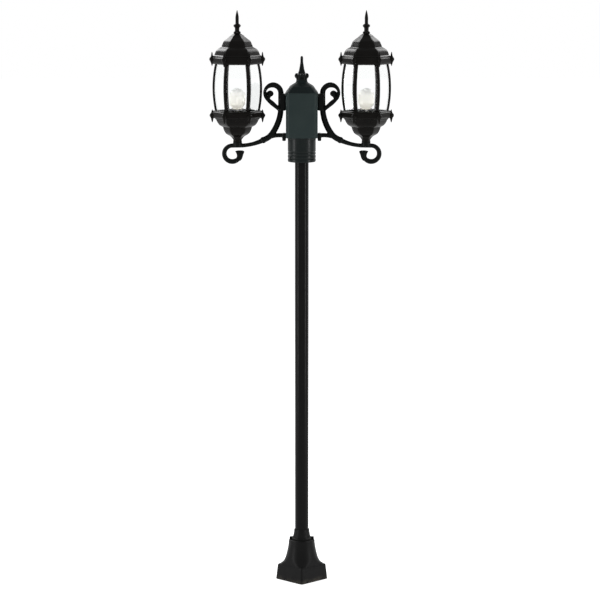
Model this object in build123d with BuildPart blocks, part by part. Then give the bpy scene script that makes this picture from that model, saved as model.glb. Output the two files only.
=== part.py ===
from build123d import *

import os
from math import cos, radians, sin, sqrt, tan

os.makedirs("parts", exist_ok=True)

# A garden lamp post with two hexagonal lanterns on scroll arms, in millimetres.
# The origin is on the ground in the middle of the base. +Z is up, and the arms lie along X.

# Clearances
slip = 0.3  # between round faces that turn or slide in each other
snug = 0.1  # between fixed pieces that are fitted into each other

# Pole, and the plate that it stands on
pole_d = 50.8
pole_wall = 2.0
pole_length = 1657.0
plate_side = 124.0
plate_thickness = 8.0
anchor_circle_d = 140.0
anchor_hole_d = 10.0
cable_hole_d = 26.0
stub_height = 100.0
stub_wall = 3.0
pole_bolt_d = 8.0
pole_bolt_height = 45.0
pole_bolt_head_d = 13.0
pole_bolt_head = 5.0

# Base cover: square plinth, corner forward, under a round bell and a neck
cover_wall = 4.0
plinth_height = 57.0
plinth_foot_diagonal = 193.2
plinth_top_diagonal = 180.0
plinth_corner_r = 8.0
flare_height = 22.0
flare_step = 7.0
flare_diagonal = 150.0
bell_foot_r = 63.5
bell_waist_r = 54.5
bell_top_r = 48.5
bell_waist_height = 29.0
bell_height = 70.0
shoulder = 4.0
neck_ring_r = 37.0
neck_ring_height = 8.0
neck_foot_r = 31.5
neck_top_r = 28.0
neck_height = 32.0
cover_screw_d = 6.0

# Feed cable
cable_d = 8.0
connector_d = 30.0
connector_height = 40.0
connector_gap = 14.0

# Fitter collar
collar_r = 51.8
collar_height = 90.0
collar_wall = 4.0
collar_web = 5.0
collar_lip = 1.0
ring_heights = [13.0, 13.0, 11.0]
ring_depth = 1.3
sleeve_wall = 4.5
collar_cable_hole_d = 30.0
collar_screw_d = 6.0
collar_screw_height = 16.0
collar_screw_head_d = 10.0

# Hub housing and its cap
housing_side = 117.0
housing_chamfer = 10.7
housing_height = 166.0
housing_wall = 3.5
housing_screw_d = 6.0
housing_screw_circle_d = 76.0
cap_outline = [  # half width, height above the housing
    (58.5, 0.0),
    (56.8, 2.6),
    (49.5, 12.7),
    (43.5, 21.5),
    (30.0, 31.0),
    (22.4, 38.0),
    (20.2, 45.0),
]
cap_wall = 3.5
cap_lip = 12.0
cap_screw_d = 4.0
crown_r = 22.5
crown_height = 21.0
crown_lobe_r = 8.3
crown_lobe_height = 14.0
spike_foot_r = 15.5
spike_r = 4.9
spike_flare = 40.0
spike_length = 27.0
hub_stud_d = 8.0
hub_stud_length = 30.0

# Terminal block
block_length = 50.0
block_width = 24.0
block_height = 20.0
block_foot = 10.0
block_lift = 1.5

# Arms
lantern_offset = 237.0
stem_r = 10.0
strut_r = 7.0
arm_r = 8.5
ring_bar_r = 7.4
slope = 26.0  # of the bars where they meet in the knuckle, in degrees
stem_start = 12.0
knee_bend = 60.0
knee_turn = 28.0
stem_bend = 170.0
strut_start = 18.0
strut_bend = 100.0
arm_bend = 200.0
seat_run = 7.0
scroll_run = 19.5
scroll_bend = 29.5
scroll_turn = 232.0
leaf_shift = (-2.2, 1.6)  # from the end of the scroll
leaf_lean = 6.9  # degrees towards the hub
leaf_height = 23.0
leaf_r = 16.5
leaf_waist_r = 10.5
knuckle_r = 12.5
stem_rise = 49.6  # straight, from the bend up to the ring
ring_gap = 1.5  # between the ring and the bars of the cage
ring_turn = 229.0
tail_length = 58.0
curl_shift = (-2.8, -2.0)  # from the end of the ring's bend
curl_lean = 23.5  # degrees towards the hub
curl_length = 22.1
curl_bar_r = 5.0
curl_ball_r = 11.0
upper_pad = (22.5, 38.0, 49.0)  # depth, width, height
lower_pad = (17.5, 38.0, 30.0)
lower_pad_drop = 13.0  # below the foot of the housing
lower_bolt_rise = 11.5  # above the foot of the housing
upper_pad_drop = 5.0
pad_round = 5.0
strut_height = 7.5  # above the foot of the housing
seat_r = 16.5
seat_height = 14.1
arm_bolt_d = 6.0
arm_bolt_spacing = 24.0
arm_bolt_head_d = 10.0
arm_bolt_head = 4.0
arm_bolt_grip = 12.0
lead_d = 5.0
lead_bend = 6.0
wireway_d = 7.4

# Lantern bowl: corner radius and height above its seat
bowl_outline = [
    (19.0, 10.5),
    (23.2, 18.0),
    (28.0, 21.6),
    (35.2, 25.3),
    (40.4, 29.0),
    (44.6, 32.6),
    (47.4, 36.3),
    (50.1, 43.7),
    (52.8, 49.5),
    (54.0, 53.5),
    (59.9, 57.5),
    (66.0, 62.0),
    (69.8, 66.5),
    (74.6, 73.5),
    (78.0, 80.6),
    (81.6, 84.0),
    (82.0, 87.5),
]
bowl_draw = 4.5  # from the outline in to the hollow
bowl_floor = 3  # the hollow starts at this level of the outline
bowl_mouth_r = 70.0
bowl_neck_r = 15.5
bowl_neck_flare = 16.5
nipple_d = 10.0
nipple_wall = 1.6
nipple_reach = 4.0
nipple_rise = 12.0
locknut_d = 18.0
locknut_height = 6.0

# Rims, bars and panes of the lantern cage
rim_height = 28.0
rim_r = 95.0
rim_edge = 4.0  # how far the band draws in at its edges
rim_edge_height = 6.0
rim_wall = 8.5
rim_web = 4.0
rim_opening_r = 72.0
rim_ledge_r = 66.0
ornament_inset = 2.5
ornament_r = 9.0
ornament_spike_r = 3.4
ornament_half_height = 26.0
ornament_shift = 3.5
cage_height = 171.0
bar_foot_r = 83.3
bar_belly_r = 91.6
bar_top_r = 82.0
bar_depth = 8.8
bar_width = 12.0
pane_inset = 2.6
pane_thickness = 2.5
rim_screw_d = 4.0
rim_screw_head_d = 7.0
rim_screw_head = 2.5
rim_screw_circle_r = 66.0
tray_r = 71.0
tray_thickness = 1.5

# Lantern roof: corner radius and height above the upper rim
roof_outline = [
    (88.4, 0.0),
    (88.4, 1.5),
    (81.0, 4.5),
    (79.5, 8.0),
    (77.5, 12.0),
    (74.3, 17.5),
    (71.0, 22.5),
    (67.0, 26.0),
    (65.5, 28.0),
    (56.0, 31.5),
    (54.0, 35.0),
    (51.0, 44.0),
    (48.5, 51.0),
    (46.5, 55.5),
    (43.5, 59.3),
    (34.0, 66.8),
    (26.5, 74.0),
    (16.5, 80.5),
    (14.0, 83.0),
]
roof_hollow = [
    (77.0, 0.0),
    (74.0, 8.5),
    (70.0, 18.5),
    (62.0, 24.0),
    (51.0, 28.5),
    (47.0, 44.5),
    (41.0, 53.5),
    (36.0, 56.5),
]
crown_foot_r = 13.0
crown_waist_r = 10.5
crown_top_r = 8.8
lobe_r = 3.9
lobe_circle_r = 10.6
lobe_height = 4.0
cap_height = 8.0
finial_neck_r = 8.3
finial_ball_r = 13.6
finial_ball_z = 20.8
finial_ball_half_height = 8.2
finial_spike_r = 6.3
finial_tip_z = 50.0  # where the spike begins to narrow
finial_height = 78.0
strap_width = 16.0
strap_thickness = 3.0
strap_length = 160.0
stud_d = 8.0
stud_nut_height = 5.6
stud_reach = 22.0
strap_screw_d = 4.0
strap_screw_x = 76.0

# Lamp holder and bulb
socket_r = 20.0
socket_height = 28.0
socket_floor = 2.5
bulb_cap_d = 26.5
bulb_cap_height = 24.0
bulb_cap_gap = 1.5
bulb_r = 30.3
bulb_height = 77.0
bulb_wall = 1.5
bulb_foot_r = 13.2
cup_r = 29.5
cup_wall = 2.0
cup_height = 29.0
cup_notch = (9.0, 8.0)  # width, depth
cup_notches = 6

# Sizes worked out from the above
pole_r = pole_d / 2
stub_r = pole_r - pole_wall - snug
half_housing = housing_side / 2
collar_top = plate_thickness + pole_length + collar_web
collar_foot = collar_top - collar_height
cap_foot = collar_top + housing_height
strut_z = collar_top + strut_height


def write(sub_part, name):
    sub_part.part.label = name
    export_step(sub_part.part, f"parts/{name}.step")


def spin(x, foot, *points, mode=Mode.ADD):
    """Turn (radius, height) points round the upright axis at x, heights from foot."""
    plane = Plane((x, 0, foot), x_dir=(1, 0, 0), z_dir=(0, -1, 0))
    with BuildSketch(plane) as outline:
        with BuildLine():
            Polyline(*points, close=True)
        make_face()
    return revolve(outline.sketch, axis=Axis((x, 0, 0), (0, 0, 1)), mode=mode)


def rod(radius, start, direction, length):
    """A round rod from a point along a direction, for use in a part."""
    with BuildSketch(Plane(origin=start, z_dir=direction)) as outline:
        Circle(radius)
    return extrude(outline.sketch, amount=length, mode=Mode.PRIVATE)


def stack(shape, outline, x=0.0, foot=0.0, mode=Mode.ADD):
    """A ruled loft through one section for each (size, height) of the outline."""
    faces = []
    for size, height in outline:
        with BuildSketch(Plane((x, 0, foot + height))) as section:
            shape(size)
        faces.append(section.sketch.faces()[0])
    return loft(faces, ruled=True, mode=mode)


def plinth(corner_r, wall, bottom, top):
    """The tapering square of the plinth, corner forward, a wall's thickness inside its face."""
    faces = []
    for height in (bottom, top):
        half_diagonal = plinth_foot_diagonal / 2 - plinth_slope * height
        side = sqrt(2) * (half_diagonal + plinth_corner_r * (sqrt(2) - 1)) - 2 * wall
        with BuildSketch(Plane.XY.offset(height)) as section:
            RectangleRounded(side, side, corner_r, rotation=45)
        faces.append(section.sketch.faces()[0])
    return loft(faces, ruled=True, mode=Mode.PRIVATE)


def hexagon(corner_r):
    return RegularPolygon(corner_r, 6)


def eight_sided(half_width):
    """A square with its corners cut in the housing's proportion."""
    ratio = housing_chamfer / half_housing
    cut = half_width * ratio
    inner = half_width - cut
    return Polygon(
        (half_width, -inner), (half_width, inner), (inner, half_width), (-inner, half_width),
        (-half_width, inner), (-half_width, -inner), (-inner, -half_width), (inner, -half_width),
        align=None,
    )


# Base plate with its welded stub
with BuildPart() as base_plate:
    with BuildSketch(Plane.XY):
        Rectangle(plate_side, plate_side, rotation=45)
    extrude(amount=plate_thickness)
    with BuildSketch(Plane.XY.offset(plate_thickness)):
        Circle(stub_r)
    extrude(amount=stub_height)
    with BuildSketch(Plane.XY.offset(plate_thickness)):
        Circle(stub_r - stub_wall)
    extrude(amount=stub_height, mode=Mode.SUBTRACT)
    with BuildSketch(Plane.XY):
        Circle(cable_hole_d / 2)
        with PolarLocations(anchor_circle_d / 2, 4):
            Circle(anchor_hole_d / 2)
    extrude(amount=plate_thickness, mode=Mode.SUBTRACT)
    for side in (1, -1):
        start = (side * (stub_r - stub_wall - 1), 0, plate_thickness + pole_bolt_height)
        add(rod(pole_bolt_d / 2 + snug, start, (side, 0, 0), stub_wall + 2), mode=Mode.SUBTRACT)
write(base_plate, "base_plate")

# Pole
with BuildPart() as pole:
    with BuildSketch(Plane.XY.offset(plate_thickness)):
        Circle(pole_r)
        Circle(pole_r - pole_wall, mode=Mode.SUBTRACT)
    extrude(amount=pole_length)
    for side in (1, -1):
        start = (side * (pole_r - pole_wall - 1), 0, plate_thickness + pole_bolt_height)
        add(rod(pole_bolt_d / 2 + snug, start, (side, 0, 0), pole_wall + 2), mode=Mode.SUBTRACT)
write(pole, "pole")

# Bolts through the pole into the stub
with BuildPart() as pole_bolts:
    for side in (1, -1):
        start = (side * (stub_r - stub_wall), 0, plate_thickness + pole_bolt_height)
        add(rod(pole_bolt_d / 2, start, (side, 0, 0), stub_wall + pole_wall + snug))
        face = (side * pole_r, 0, plate_thickness + pole_bolt_height)
        add(rod(pole_bolt_head_d / 2, face, (side, 0, 0), pole_bolt_head))
write(pole_bolts, "pole_bolts")

# Base cover: a square plinth, corner forward, under a turned bell, shoulder and neck
bell_foot = plinth_height + flare_height
bell_top = bell_foot + bell_height
cover_ledge = bell_top + shoulder
neck_foot = cover_ledge + neck_ring_height
cover_top = neck_foot + neck_height
plinth_slope = (plinth_foot_diagonal - plinth_top_diagonal) / 2 / plinth_height
cover_bore_r = pole_r + slip
screw_z = cover_ledge + neck_ring_height / 2
with BuildPart() as base_cover:
    prism = plinth(plinth_corner_r, 0.0, 0.0, cover_top)
    with BuildSketch(Plane.XZ) as turned_outline:
        with BuildLine():
            Polyline(
                (0, -1),
                (plinth_foot_diagonal / 2 + 5, -1),
                (plinth_foot_diagonal / 2 + 5, plinth_height - 5),
                (plinth_top_diagonal / 2, plinth_height),
                (flare_diagonal / 2, plinth_height + flare_step),
                (bell_foot_r, bell_foot),
            )
            ThreePointArc(
                (bell_foot_r, bell_foot),
                (bell_waist_r, bell_foot + bell_waist_height),
                (bell_top_r, bell_top),
            )
            ThreePointArc(
                (bell_top_r, bell_top),
                (bell_top_r - shoulder * 0.3, bell_top + shoulder * 0.7),
                (bell_top_r - shoulder, cover_ledge),
            )
            Line((bell_top_r - shoulder, cover_ledge), (neck_ring_r, cover_ledge))
            ThreePointArc((neck_ring_r, cover_ledge), (neck_ring_r + 1, screw_z), (neck_foot_r, neck_foot))
            ThreePointArc(
                (neck_foot_r, neck_foot),
                ((neck_foot_r + neck_top_r) / 2 - 1, neck_foot + neck_height / 2),
                (neck_top_r, cover_top),
            )
            Polyline((neck_top_r, cover_top), (0, cover_top), (0, -1))
        make_face()
    turned = revolve(turned_outline.sketch, axis=Axis.Z, mode=Mode.PRIVATE)
    add(prism & turned)
    hollow_top = plinth_height - cover_wall
    add(plinth(plinth_corner_r - cover_wall, cover_wall, -1.0, hollow_top), mode=Mode.SUBTRACT)
    with BuildSketch(Plane.XZ) as hollow_outline:
        with BuildLine():
            wall_top = bell_top - cover_wall
            Polyline(
                (0, wall_top),
                (0, hollow_top - 1),
                (bell_foot_r - cover_wall, hollow_top - 1),
                (bell_foot_r - cover_wall, bell_foot - cover_wall / 2),
            )
            ThreePointArc(
                (bell_foot_r - cover_wall, bell_foot - cover_wall / 2),
                (bell_waist_r - cover_wall, bell_foot + bell_waist_height),
                (bell_top_r - cover_wall, wall_top),
            )
            Line((bell_top_r - cover_wall, wall_top), (0, wall_top))
        make_face()
    revolve(hollow_outline.sketch, axis=Axis.Z, mode=Mode.SUBTRACT)
    with BuildSketch(Plane.XY.offset(bell_top - 2 * cover_wall)):
        Circle(cover_bore_r)
    extrude(amount=cover_top - bell_top + 3 * cover_wall, mode=Mode.SUBTRACT)
    for side in (1, -1):
        start = (side * (pole_r - 1), 0, screw_z)
        add(rod(cover_screw_d / 2 + snug, start, (side, 0, 0), neck_ring_r), mode=Mode.SUBTRACT)
write(base_cover, "base_cover")

# Set screws in the cover's neck ring
with BuildPart() as cover_set_screws:
    for side in (1, -1):
        start = (side * (pole_r + slip), 0, screw_z)
        add(rod(cover_screw_d / 2, start, (side, 0, 0), neck_ring_r - pole_r - slip))
write(cover_set_screws, "cover_set_screws")

# Feed connector in the stub, and the cable from it up the pole
block_foot_z = collar_top + housing_wall
block_z = block_foot_z + block_lift
with BuildPart() as feed_connector:
    with BuildSketch(Plane.XY.offset(plate_thickness + connector_gap)):
        Circle(connector_d / 2)
    extrude(amount=connector_height)
    with BuildSketch(Plane.XY.offset(plate_thickness)):
        Circle(cable_hole_d / 2 + 5)
        Circle(cable_hole_d / 2 + 2, mode=Mode.SUBTRACT)
    extrude(amount=connector_gap)
    chamfer(edges().sort_by(Axis.Z)[-1:], 2)
write(feed_connector, "feed_connector")

cable_foot = plate_thickness + connector_gap + connector_height
with BuildPart() as supply_cable:
    with BuildSketch(Plane.XY.offset(cable_foot)):
        Circle(cable_d / 2)
    extrude(amount=block_z - slip - cable_foot)
write(supply_cable, "supply_cable")

# Fitter collar: ringed skirt, top web, and a sleeve round the pole
sleeve_r = pole_r + slip + sleeve_wall
ring_top = collar_foot + sum(ring_heights)
with BuildPart() as fitter_collar:
    with BuildSketch(Plane.XZ):
        with BuildLine():
            Line((0, collar_foot), (collar_r - ring_depth, collar_foot))
            ring_foot = collar_foot
            for height in ring_heights:
                ThreePointArc(
                    (collar_r - ring_depth, ring_foot),
                    (collar_r, ring_foot + height / 2),
                    (collar_r - ring_depth, ring_foot + height),
                )
                ring_foot = ring_foot + height
            Polyline(
                (collar_r - ring_depth, ring_top),
                (collar_r, ring_top + 2 * ring_depth),
                (collar_r, collar_top - 4 * collar_lip),
                (collar_r + collar_lip, collar_top - 2 * collar_lip),
                (collar_r + collar_lip, collar_top),
                (0, collar_top),
                (0, collar_foot),
            )
        make_face()
    revolve(axis=Axis.Z)
    with BuildSketch(Plane.XY.offset(collar_foot + collar_web)):
        Circle(collar_r - ring_depth - collar_wall)
        Circle(sleeve_r, mode=Mode.SUBTRACT)
    extrude(amount=collar_height - 2 * collar_web, mode=Mode.SUBTRACT)
    with BuildSketch(Plane.XY.offset(collar_foot)):
        Circle(pole_r + slip)
    extrude(amount=collar_height - collar_web, mode=Mode.SUBTRACT)
    with BuildSketch(Plane.XY.offset(collar_top - collar_web)):
        Circle(collar_cable_hole_d / 2)
        with PolarLocations(housing_screw_circle_d / 2, 4, start_angle=45):
            Circle(housing_screw_d / 2 + snug)
    extrude(amount=collar_web, mode=Mode.SUBTRACT)
    screw_z = collar_foot + collar_screw_height
    for angle in (90, 210, 330):
        way = (cos(radians(angle)), sin(radians(angle)), 0)
        start = (way[0] * (pole_r - 1), way[1] * (pole_r - 1), screw_z)
        add(rod(collar_screw_d / 2 + snug, start, way, collar_r), mode=Mode.SUBTRACT)
write(fitter_collar, "fitter_collar")

# Set screws of the collar
with BuildPart() as collar_screws:
    for angle in (90, 210, 330):
        way = (cos(radians(angle)), sin(radians(angle)), 0)
        start = (way[0] * (pole_r + slip), way[1] * (pole_r + slip), screw_z)
        add(rod(collar_screw_d / 2, start, way, collar_r - pole_r - slip))
        face = (way[0] * collar_r, way[1] * collar_r, screw_z)
        add(rod(collar_screw_head_d / 2, face, way, 1.5))
write(collar_screws, "collar_screws")

# Hub housing, with holes for the arm bolts, the leads and the cap screws
upper_pad_z = cap_foot - upper_pad_drop - upper_pad[2] / 2
lower_pad_z = collar_top - lower_pad_drop + lower_pad[2] / 2
bolt_levels = (collar_top + lower_bolt_rise, upper_pad_z)
cap_screw_z = cap_foot - cap_lip / 2
cap_screw_y = half_housing - housing_chamfer - 10
with BuildPart() as hub_housing:
    with BuildSketch(Plane.XY.offset(collar_top)):
        eight_sided(half_housing)
    extrude(amount=housing_height)
    with BuildSketch(Plane.XY.offset(collar_top + housing_wall)):
        eight_sided(half_housing - housing_wall)
    extrude(amount=housing_height - housing_wall, mode=Mode.SUBTRACT)
    with BuildSketch(Plane.XY.offset(collar_top)):
        Circle(collar_cable_hole_d / 2)
        with PolarLocations(housing_screw_circle_d / 2, 4, start_angle=45):
            Circle(housing_screw_d / 2 + snug)
    extrude(amount=housing_wall, mode=Mode.SUBTRACT)
    for side in (1, -1):
        x = side * (half_housing - housing_wall - 1)
        reach = housing_wall + 2
        add(rod(wireway_d / 2, (x, 0, strut_z), (side, 0, 0), reach), mode=Mode.SUBTRACT)
        for bolt_z in bolt_levels:
            for y in (-arm_bolt_spacing / 2, arm_bolt_spacing / 2):
                hole = rod(arm_bolt_d / 2 + snug, (x, y, bolt_z), (side, 0, 0), reach)
                add(hole, mode=Mode.SUBTRACT)
        for y in (-cap_screw_y, cap_screw_y):
            hole = rod(cap_screw_d / 2 + snug, (x, y, cap_screw_z), (side, 0, 0), reach)
            add(hole, mode=Mode.SUBTRACT)
write(hub_housing, "hub_housing")

# Screws between housing and collar
with BuildPart() as housing_screws:
    foot = collar_top - collar_web - 2
    head = collar_top + housing_wall
    with BuildSketch(Plane.XY.offset(foot)):
        with PolarLocations(housing_screw_circle_d / 2, 4, start_angle=45):
            Circle(housing_screw_d / 2)
    extrude(amount=head - foot)
    with BuildSketch(Plane.XY.offset(head)):
        with PolarLocations(housing_screw_circle_d / 2, 4, start_angle=45):
            Circle(housing_screw_d * 0.85)
    extrude(amount=housing_screw_d / 2)
write(housing_screws, "housing_screws")

# Cap of the hub, with a lip that fits inside the housing
cap_sections = [(half_width, cap_foot + height) for half_width, height in cap_outline]
cap_top = cap_sections[-1][1]
hub_stud_r = hub_stud_d / 2
lip_r = half_housing - housing_wall - slip
with BuildPart() as hub_cap:
    stack(eight_sided, cap_sections)
    hollow = [(half_width - cap_wall, z) for half_width, z in cap_sections[:5]]
    hollow[0] = (lip_r - cap_wall, cap_foot)
    hollow[1] = (lip_r - cap_wall, hollow[1][1])
    stack(eight_sided, hollow, mode=Mode.SUBTRACT)
    with BuildSketch(Plane.XY.offset(cap_foot - cap_lip)):
        eight_sided(lip_r)
        with BuildSketch(mode=Mode.SUBTRACT):
            eight_sided(lip_r - cap_wall)
    extrude(amount=cap_lip)
    with BuildSketch(Plane.XY.offset(cap_top - hub_stud_length)):
        Circle(hub_stud_r + snug)
    extrude(amount=hub_stud_length, mode=Mode.SUBTRACT)
    for side in (1, -1):
        for y in (-cap_screw_y, cap_screw_y):
            start = (side * (lip_r - cap_wall - 1), y, cap_screw_z)
            hole = rod(cap_screw_d / 2 + snug, start, (side, 0, 0), cap_wall + 2)
            add(hole, mode=Mode.SUBTRACT)
write(hub_cap, "hub_cap")

# Screws through the housing into the lip of the cap
with BuildPart() as cap_screws:
    for side in (1, -1):
        for y in (-cap_screw_y, cap_screw_y):
            start = (side * (lip_r - cap_wall), y, cap_screw_z)
            add(rod(cap_screw_d / 2, start, (side, 0, 0), half_housing - lip_r + cap_wall))
            face = (side * half_housing, y, cap_screw_z)
            add(rod(cap_screw_d, face, (side, 0, 0), cap_screw_d / 2))
write(cap_screws, "cap_screws")

# Crown and spike on top of the hub, with its stud and nut
neck_r = cap_outline[-1][0]
with BuildPart() as hub_finial:
    spin(
        0,
        cap_top,
        (0, 0),
        (neck_r, 0),
        (neck_r + 0.4, 5.0),
        (neck_r + 1.4, 10.0),
        (crown_r, 14.5),
        (crown_r, crown_height - 2.0),
        (crown_r - 2.0, crown_height),
        (spike_foot_r, crown_height + 3.0),
        (13.2, crown_height + 7.5),
        (10.1, crown_height + 15.0),
        (8.1, crown_height + 23.0),
        (6.4, crown_height + 32.0),
        (spike_r, crown_height + spike_flare),
        (spike_r, crown_height + spike_flare + spike_length - 7.0),
        (spike_r - 1.2, crown_height + spike_flare + spike_length - 3.0),
        (0, crown_height + spike_flare + spike_length),
    )
    for angle in range(0, 360, 90):
        way = Vector(crown_r - crown_lobe_r / 2, 0, 0).rotate(Axis.Z, angle)
        with Locations((way.X, way.Y, cap_top + crown_lobe_height)):
            Sphere(crown_lobe_r)
    with BuildSketch(Plane.XY.offset(cap_top - hub_stud_length)):
        Circle(hub_stud_r)
    extrude(amount=hub_stud_length)
    with BuildSketch(Plane.XY.offset(cap_sections[4][1] - hub_stud_r)):
        RegularPolygon(hub_stud_d * 0.9, 6)
    extrude(amount=hub_stud_r)
write(hub_finial, "hub_finial")

# Terminal block on two feet, above the hole for the cable
with BuildPart() as terminal_block:
    with BuildSketch(Plane.XY.offset(block_z)):
        Rectangle(block_length, block_width)
    extrude(amount=block_height)
    with BuildSketch(Plane.XY.offset(block_foot_z)):
        for side in (1, -1):
            with Locations((side * (block_length - block_foot) / 2, 0)):
                Rectangle(block_foot, block_width)
    extrude(amount=block_lift)
    with BuildSketch(Plane.XY.offset(block_z + block_height)):
        with GridLocations(block_length / 4, block_width / 2, 4, 2):
            Circle(2.5)
    extrude(amount=-3, mode=Mode.SUBTRACT)
write(terminal_block, "terminal_block")


def tube(line, radius, mode=Mode.ADD):
    """A round bar along a centre line."""
    with BuildSketch(Plane(origin=line.line @ 0, z_dir=line.line % 0)) as section:
        Circle(radius)
    return sweep(section.sketch, path=line.line, mode=mode)


def copies(piece, angles):
    """The piece turned round the lantern axis by each angle."""
    for angle in angles:
        add(piece.rotate(Axis((lantern_offset, 0, 0), (0, 0, 1)), angle))


# Levels along the arm and the lantern, from the strut and from the seat
rise = 1 - cos(radians(slope))
run = sin(radians(slope))
arm_z = strut_z - (strut_bend + arm_bend) * rise - strut_start * run
knuckle = (lantern_offset - seat_run - arm_bend * run, arm_z + arm_bend * rise)
seat_z = arm_z + seat_height
bowl_top = bowl_outline[-1][1]
tray_foot = bowl_top + rim_web
lamp_foot = tray_foot + tray_thickness
cage_foot = bowl_top + rim_height
upper_foot = cage_foot + cage_height
roof_foot = upper_foot + rim_height
crown_foot = roof_foot + roof_outline[-1][1]
finial_foot = crown_foot + cap_height
stud_top = finial_foot + stud_reach
corners = range(0, 360, 60)
flats = range(30, 390, 60)
outward = (cos(radians(slope)), -run)
inward = (-outward[0], -outward[1])

# Centre lines of the right arm, from the knuckle out and back
with BuildLine(Plane.XZ) as strut_line:
    begin = PolarLine(knuckle, strut_start, direction=inward)
    bend = JernArc(begin @ 1, inward, strut_bend, slope)
    Line(bend @ 1, (half_housing + 3, strut_z))
with BuildLine(Plane.XZ) as arm_line:
    bend = JernArc(knuckle, outward, arm_bend, slope)
    Line(bend @ 1, (lantern_offset + scroll_run, arm_z))
    JernArc((lantern_offset + scroll_run, arm_z), (1, 0), scroll_bend, -scroll_turn)
with BuildLine(Plane.XZ) as stem_line:
    begin = PolarLine(knuckle, stem_start, direction=inward)
    knee = JernArc(begin @ 1, inward, knee_bend, -knee_turn)
    JernArc(knee @ 1, knee % 1, stem_bend, slope + knee_turn - 90)
stem_x = (stem_line.line @ 1).X
stem_z = (stem_line.line @ 1).Z
ring_z = stem_z + stem_rise
ring_bend = (lantern_offset - bar_belly_r - ring_gap - ring_bar_r - stem_x) / 2
with BuildLine(Plane.XZ) as ring_line:
    Line((stem_x, stem_z), (stem_x, ring_z))
    ring = JernArc((stem_x, ring_z), (0, 1), ring_bend, -ring_turn)
    Line(ring @ 1, ring @ 1 + (ring % 1) * tail_length)
curl_start = ring @ 1 + Vector(curl_shift[0], 0, curl_shift[1])
curl_way = Vector(-sin(radians(curl_lean)), 0, cos(radians(curl_lean)))
curl_ball = curl_start + curl_way * curl_length
leaf_foot = arm_line.line @ 1 + Vector(leaf_shift[0], 0, leaf_shift[1])
leaf_way = Vector(-sin(radians(leaf_lean)), 0, cos(radians(leaf_lean)))
with BuildLine(Plane.XZ) as lead_line:
    Line((lantern_offset, seat_z + lamp_foot - slip), (lantern_offset, arm_z + lead_bend))
    turn = JernArc((lantern_offset, arm_z + lead_bend), (0, -1), lead_bend, -90)
    Line(turn @ 1, (lantern_offset - seat_run, arm_z))
    back = JernArc((lantern_offset - seat_run, arm_z), (-1, 0), arm_bend, -slope)
    straight = PolarLine(back @ 1, strut_start, direction=inward)
    climb = JernArc(straight @ 1, inward, strut_bend, slope)
    Line(climb @ 1, (block_length / 2, strut_z))

# Arm: stem, strut and arm bars, ring and curl, scroll and leaf, two pads and the seat
with BuildPart() as right_arm:
    tube(stem_line, stem_r)
    tube(strut_line, strut_r)
    tube(arm_line, arm_r)
    with Locations((knuckle[0], 0, knuckle[1])):
        Sphere(knuckle_r)
    tube(ring_line, ring_bar_r)
    for (depth, width, height), pad_z in ((upper_pad, upper_pad_z), (lower_pad, lower_pad_z)):
        plane = Plane((half_housing, 0, pad_z), x_dir=(0, 1, 0), z_dir=(1, 0, 0))
        with BuildSketch(plane):
            RectangleRounded(width, height, pad_round)
        extrude(amount=depth)
    add(rod(curl_bar_r, curl_start, curl_way, curl_length))
    with Locations(curl_ball):
        Sphere(curl_ball_r)
    leaf_plane = Plane(leaf_foot, x_dir=leaf_way, z_dir=(0, -1, 0))
    with BuildSketch(leaf_plane) as leaf:
        with BuildLine():
            Line((0, 0), (0, leaf_waist_r))
            ThreePointArc(
                (0, leaf_waist_r),
                (leaf_height * 0.35, leaf_waist_r * 1.02),
                (leaf_height * 0.85, leaf_r),
            )
            Polyline((leaf_height * 0.85, leaf_r), (leaf_height, 0), (0, 0))
        make_face()
    revolve(leaf.sketch, axis=Axis(leaf_foot, leaf_way))
    with Locations(leaf_foot):
        Sphere(leaf_waist_r)
    with BuildSketch(Plane((lantern_offset, 0, arm_z))):
        Circle(seat_r)
    extrude(amount=seat_height)
    with BuildSketch(Plane((lantern_offset, 0, seat_z - nipple_reach))):
        Circle(nipple_d / 2 + snug)
    extrude(amount=nipple_reach, mode=Mode.SUBTRACT)
    tube(lead_line, wireway_d / 2, mode=Mode.SUBTRACT)
    for bolt_z in bolt_levels:
        for y in (-arm_bolt_spacing / 2, arm_bolt_spacing / 2):
            hole = rod(arm_bolt_d / 2 + snug, (half_housing, y, bolt_z), (1, 0, 0), arm_bolt_grip)
            add(hole, mode=Mode.SUBTRACT)

# Bolts from inside the housing into the pads
with BuildPart() as right_arm_bolts:
    for bolt_z in bolt_levels:
        for y in (-arm_bolt_spacing / 2, arm_bolt_spacing / 2):
            face = (half_housing - housing_wall, y, bolt_z)
            add(rod(arm_bolt_d / 2, face, (1, 0, 0), housing_wall + arm_bolt_grip))
            add(rod(arm_bolt_head_d / 2, face, (-1, 0, 0), arm_bolt_head))

# Lead from the terminal block through the arm to the lamp holder
with BuildPart() as right_lead:
    tube(lead_line, lead_d / 2)

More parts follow.
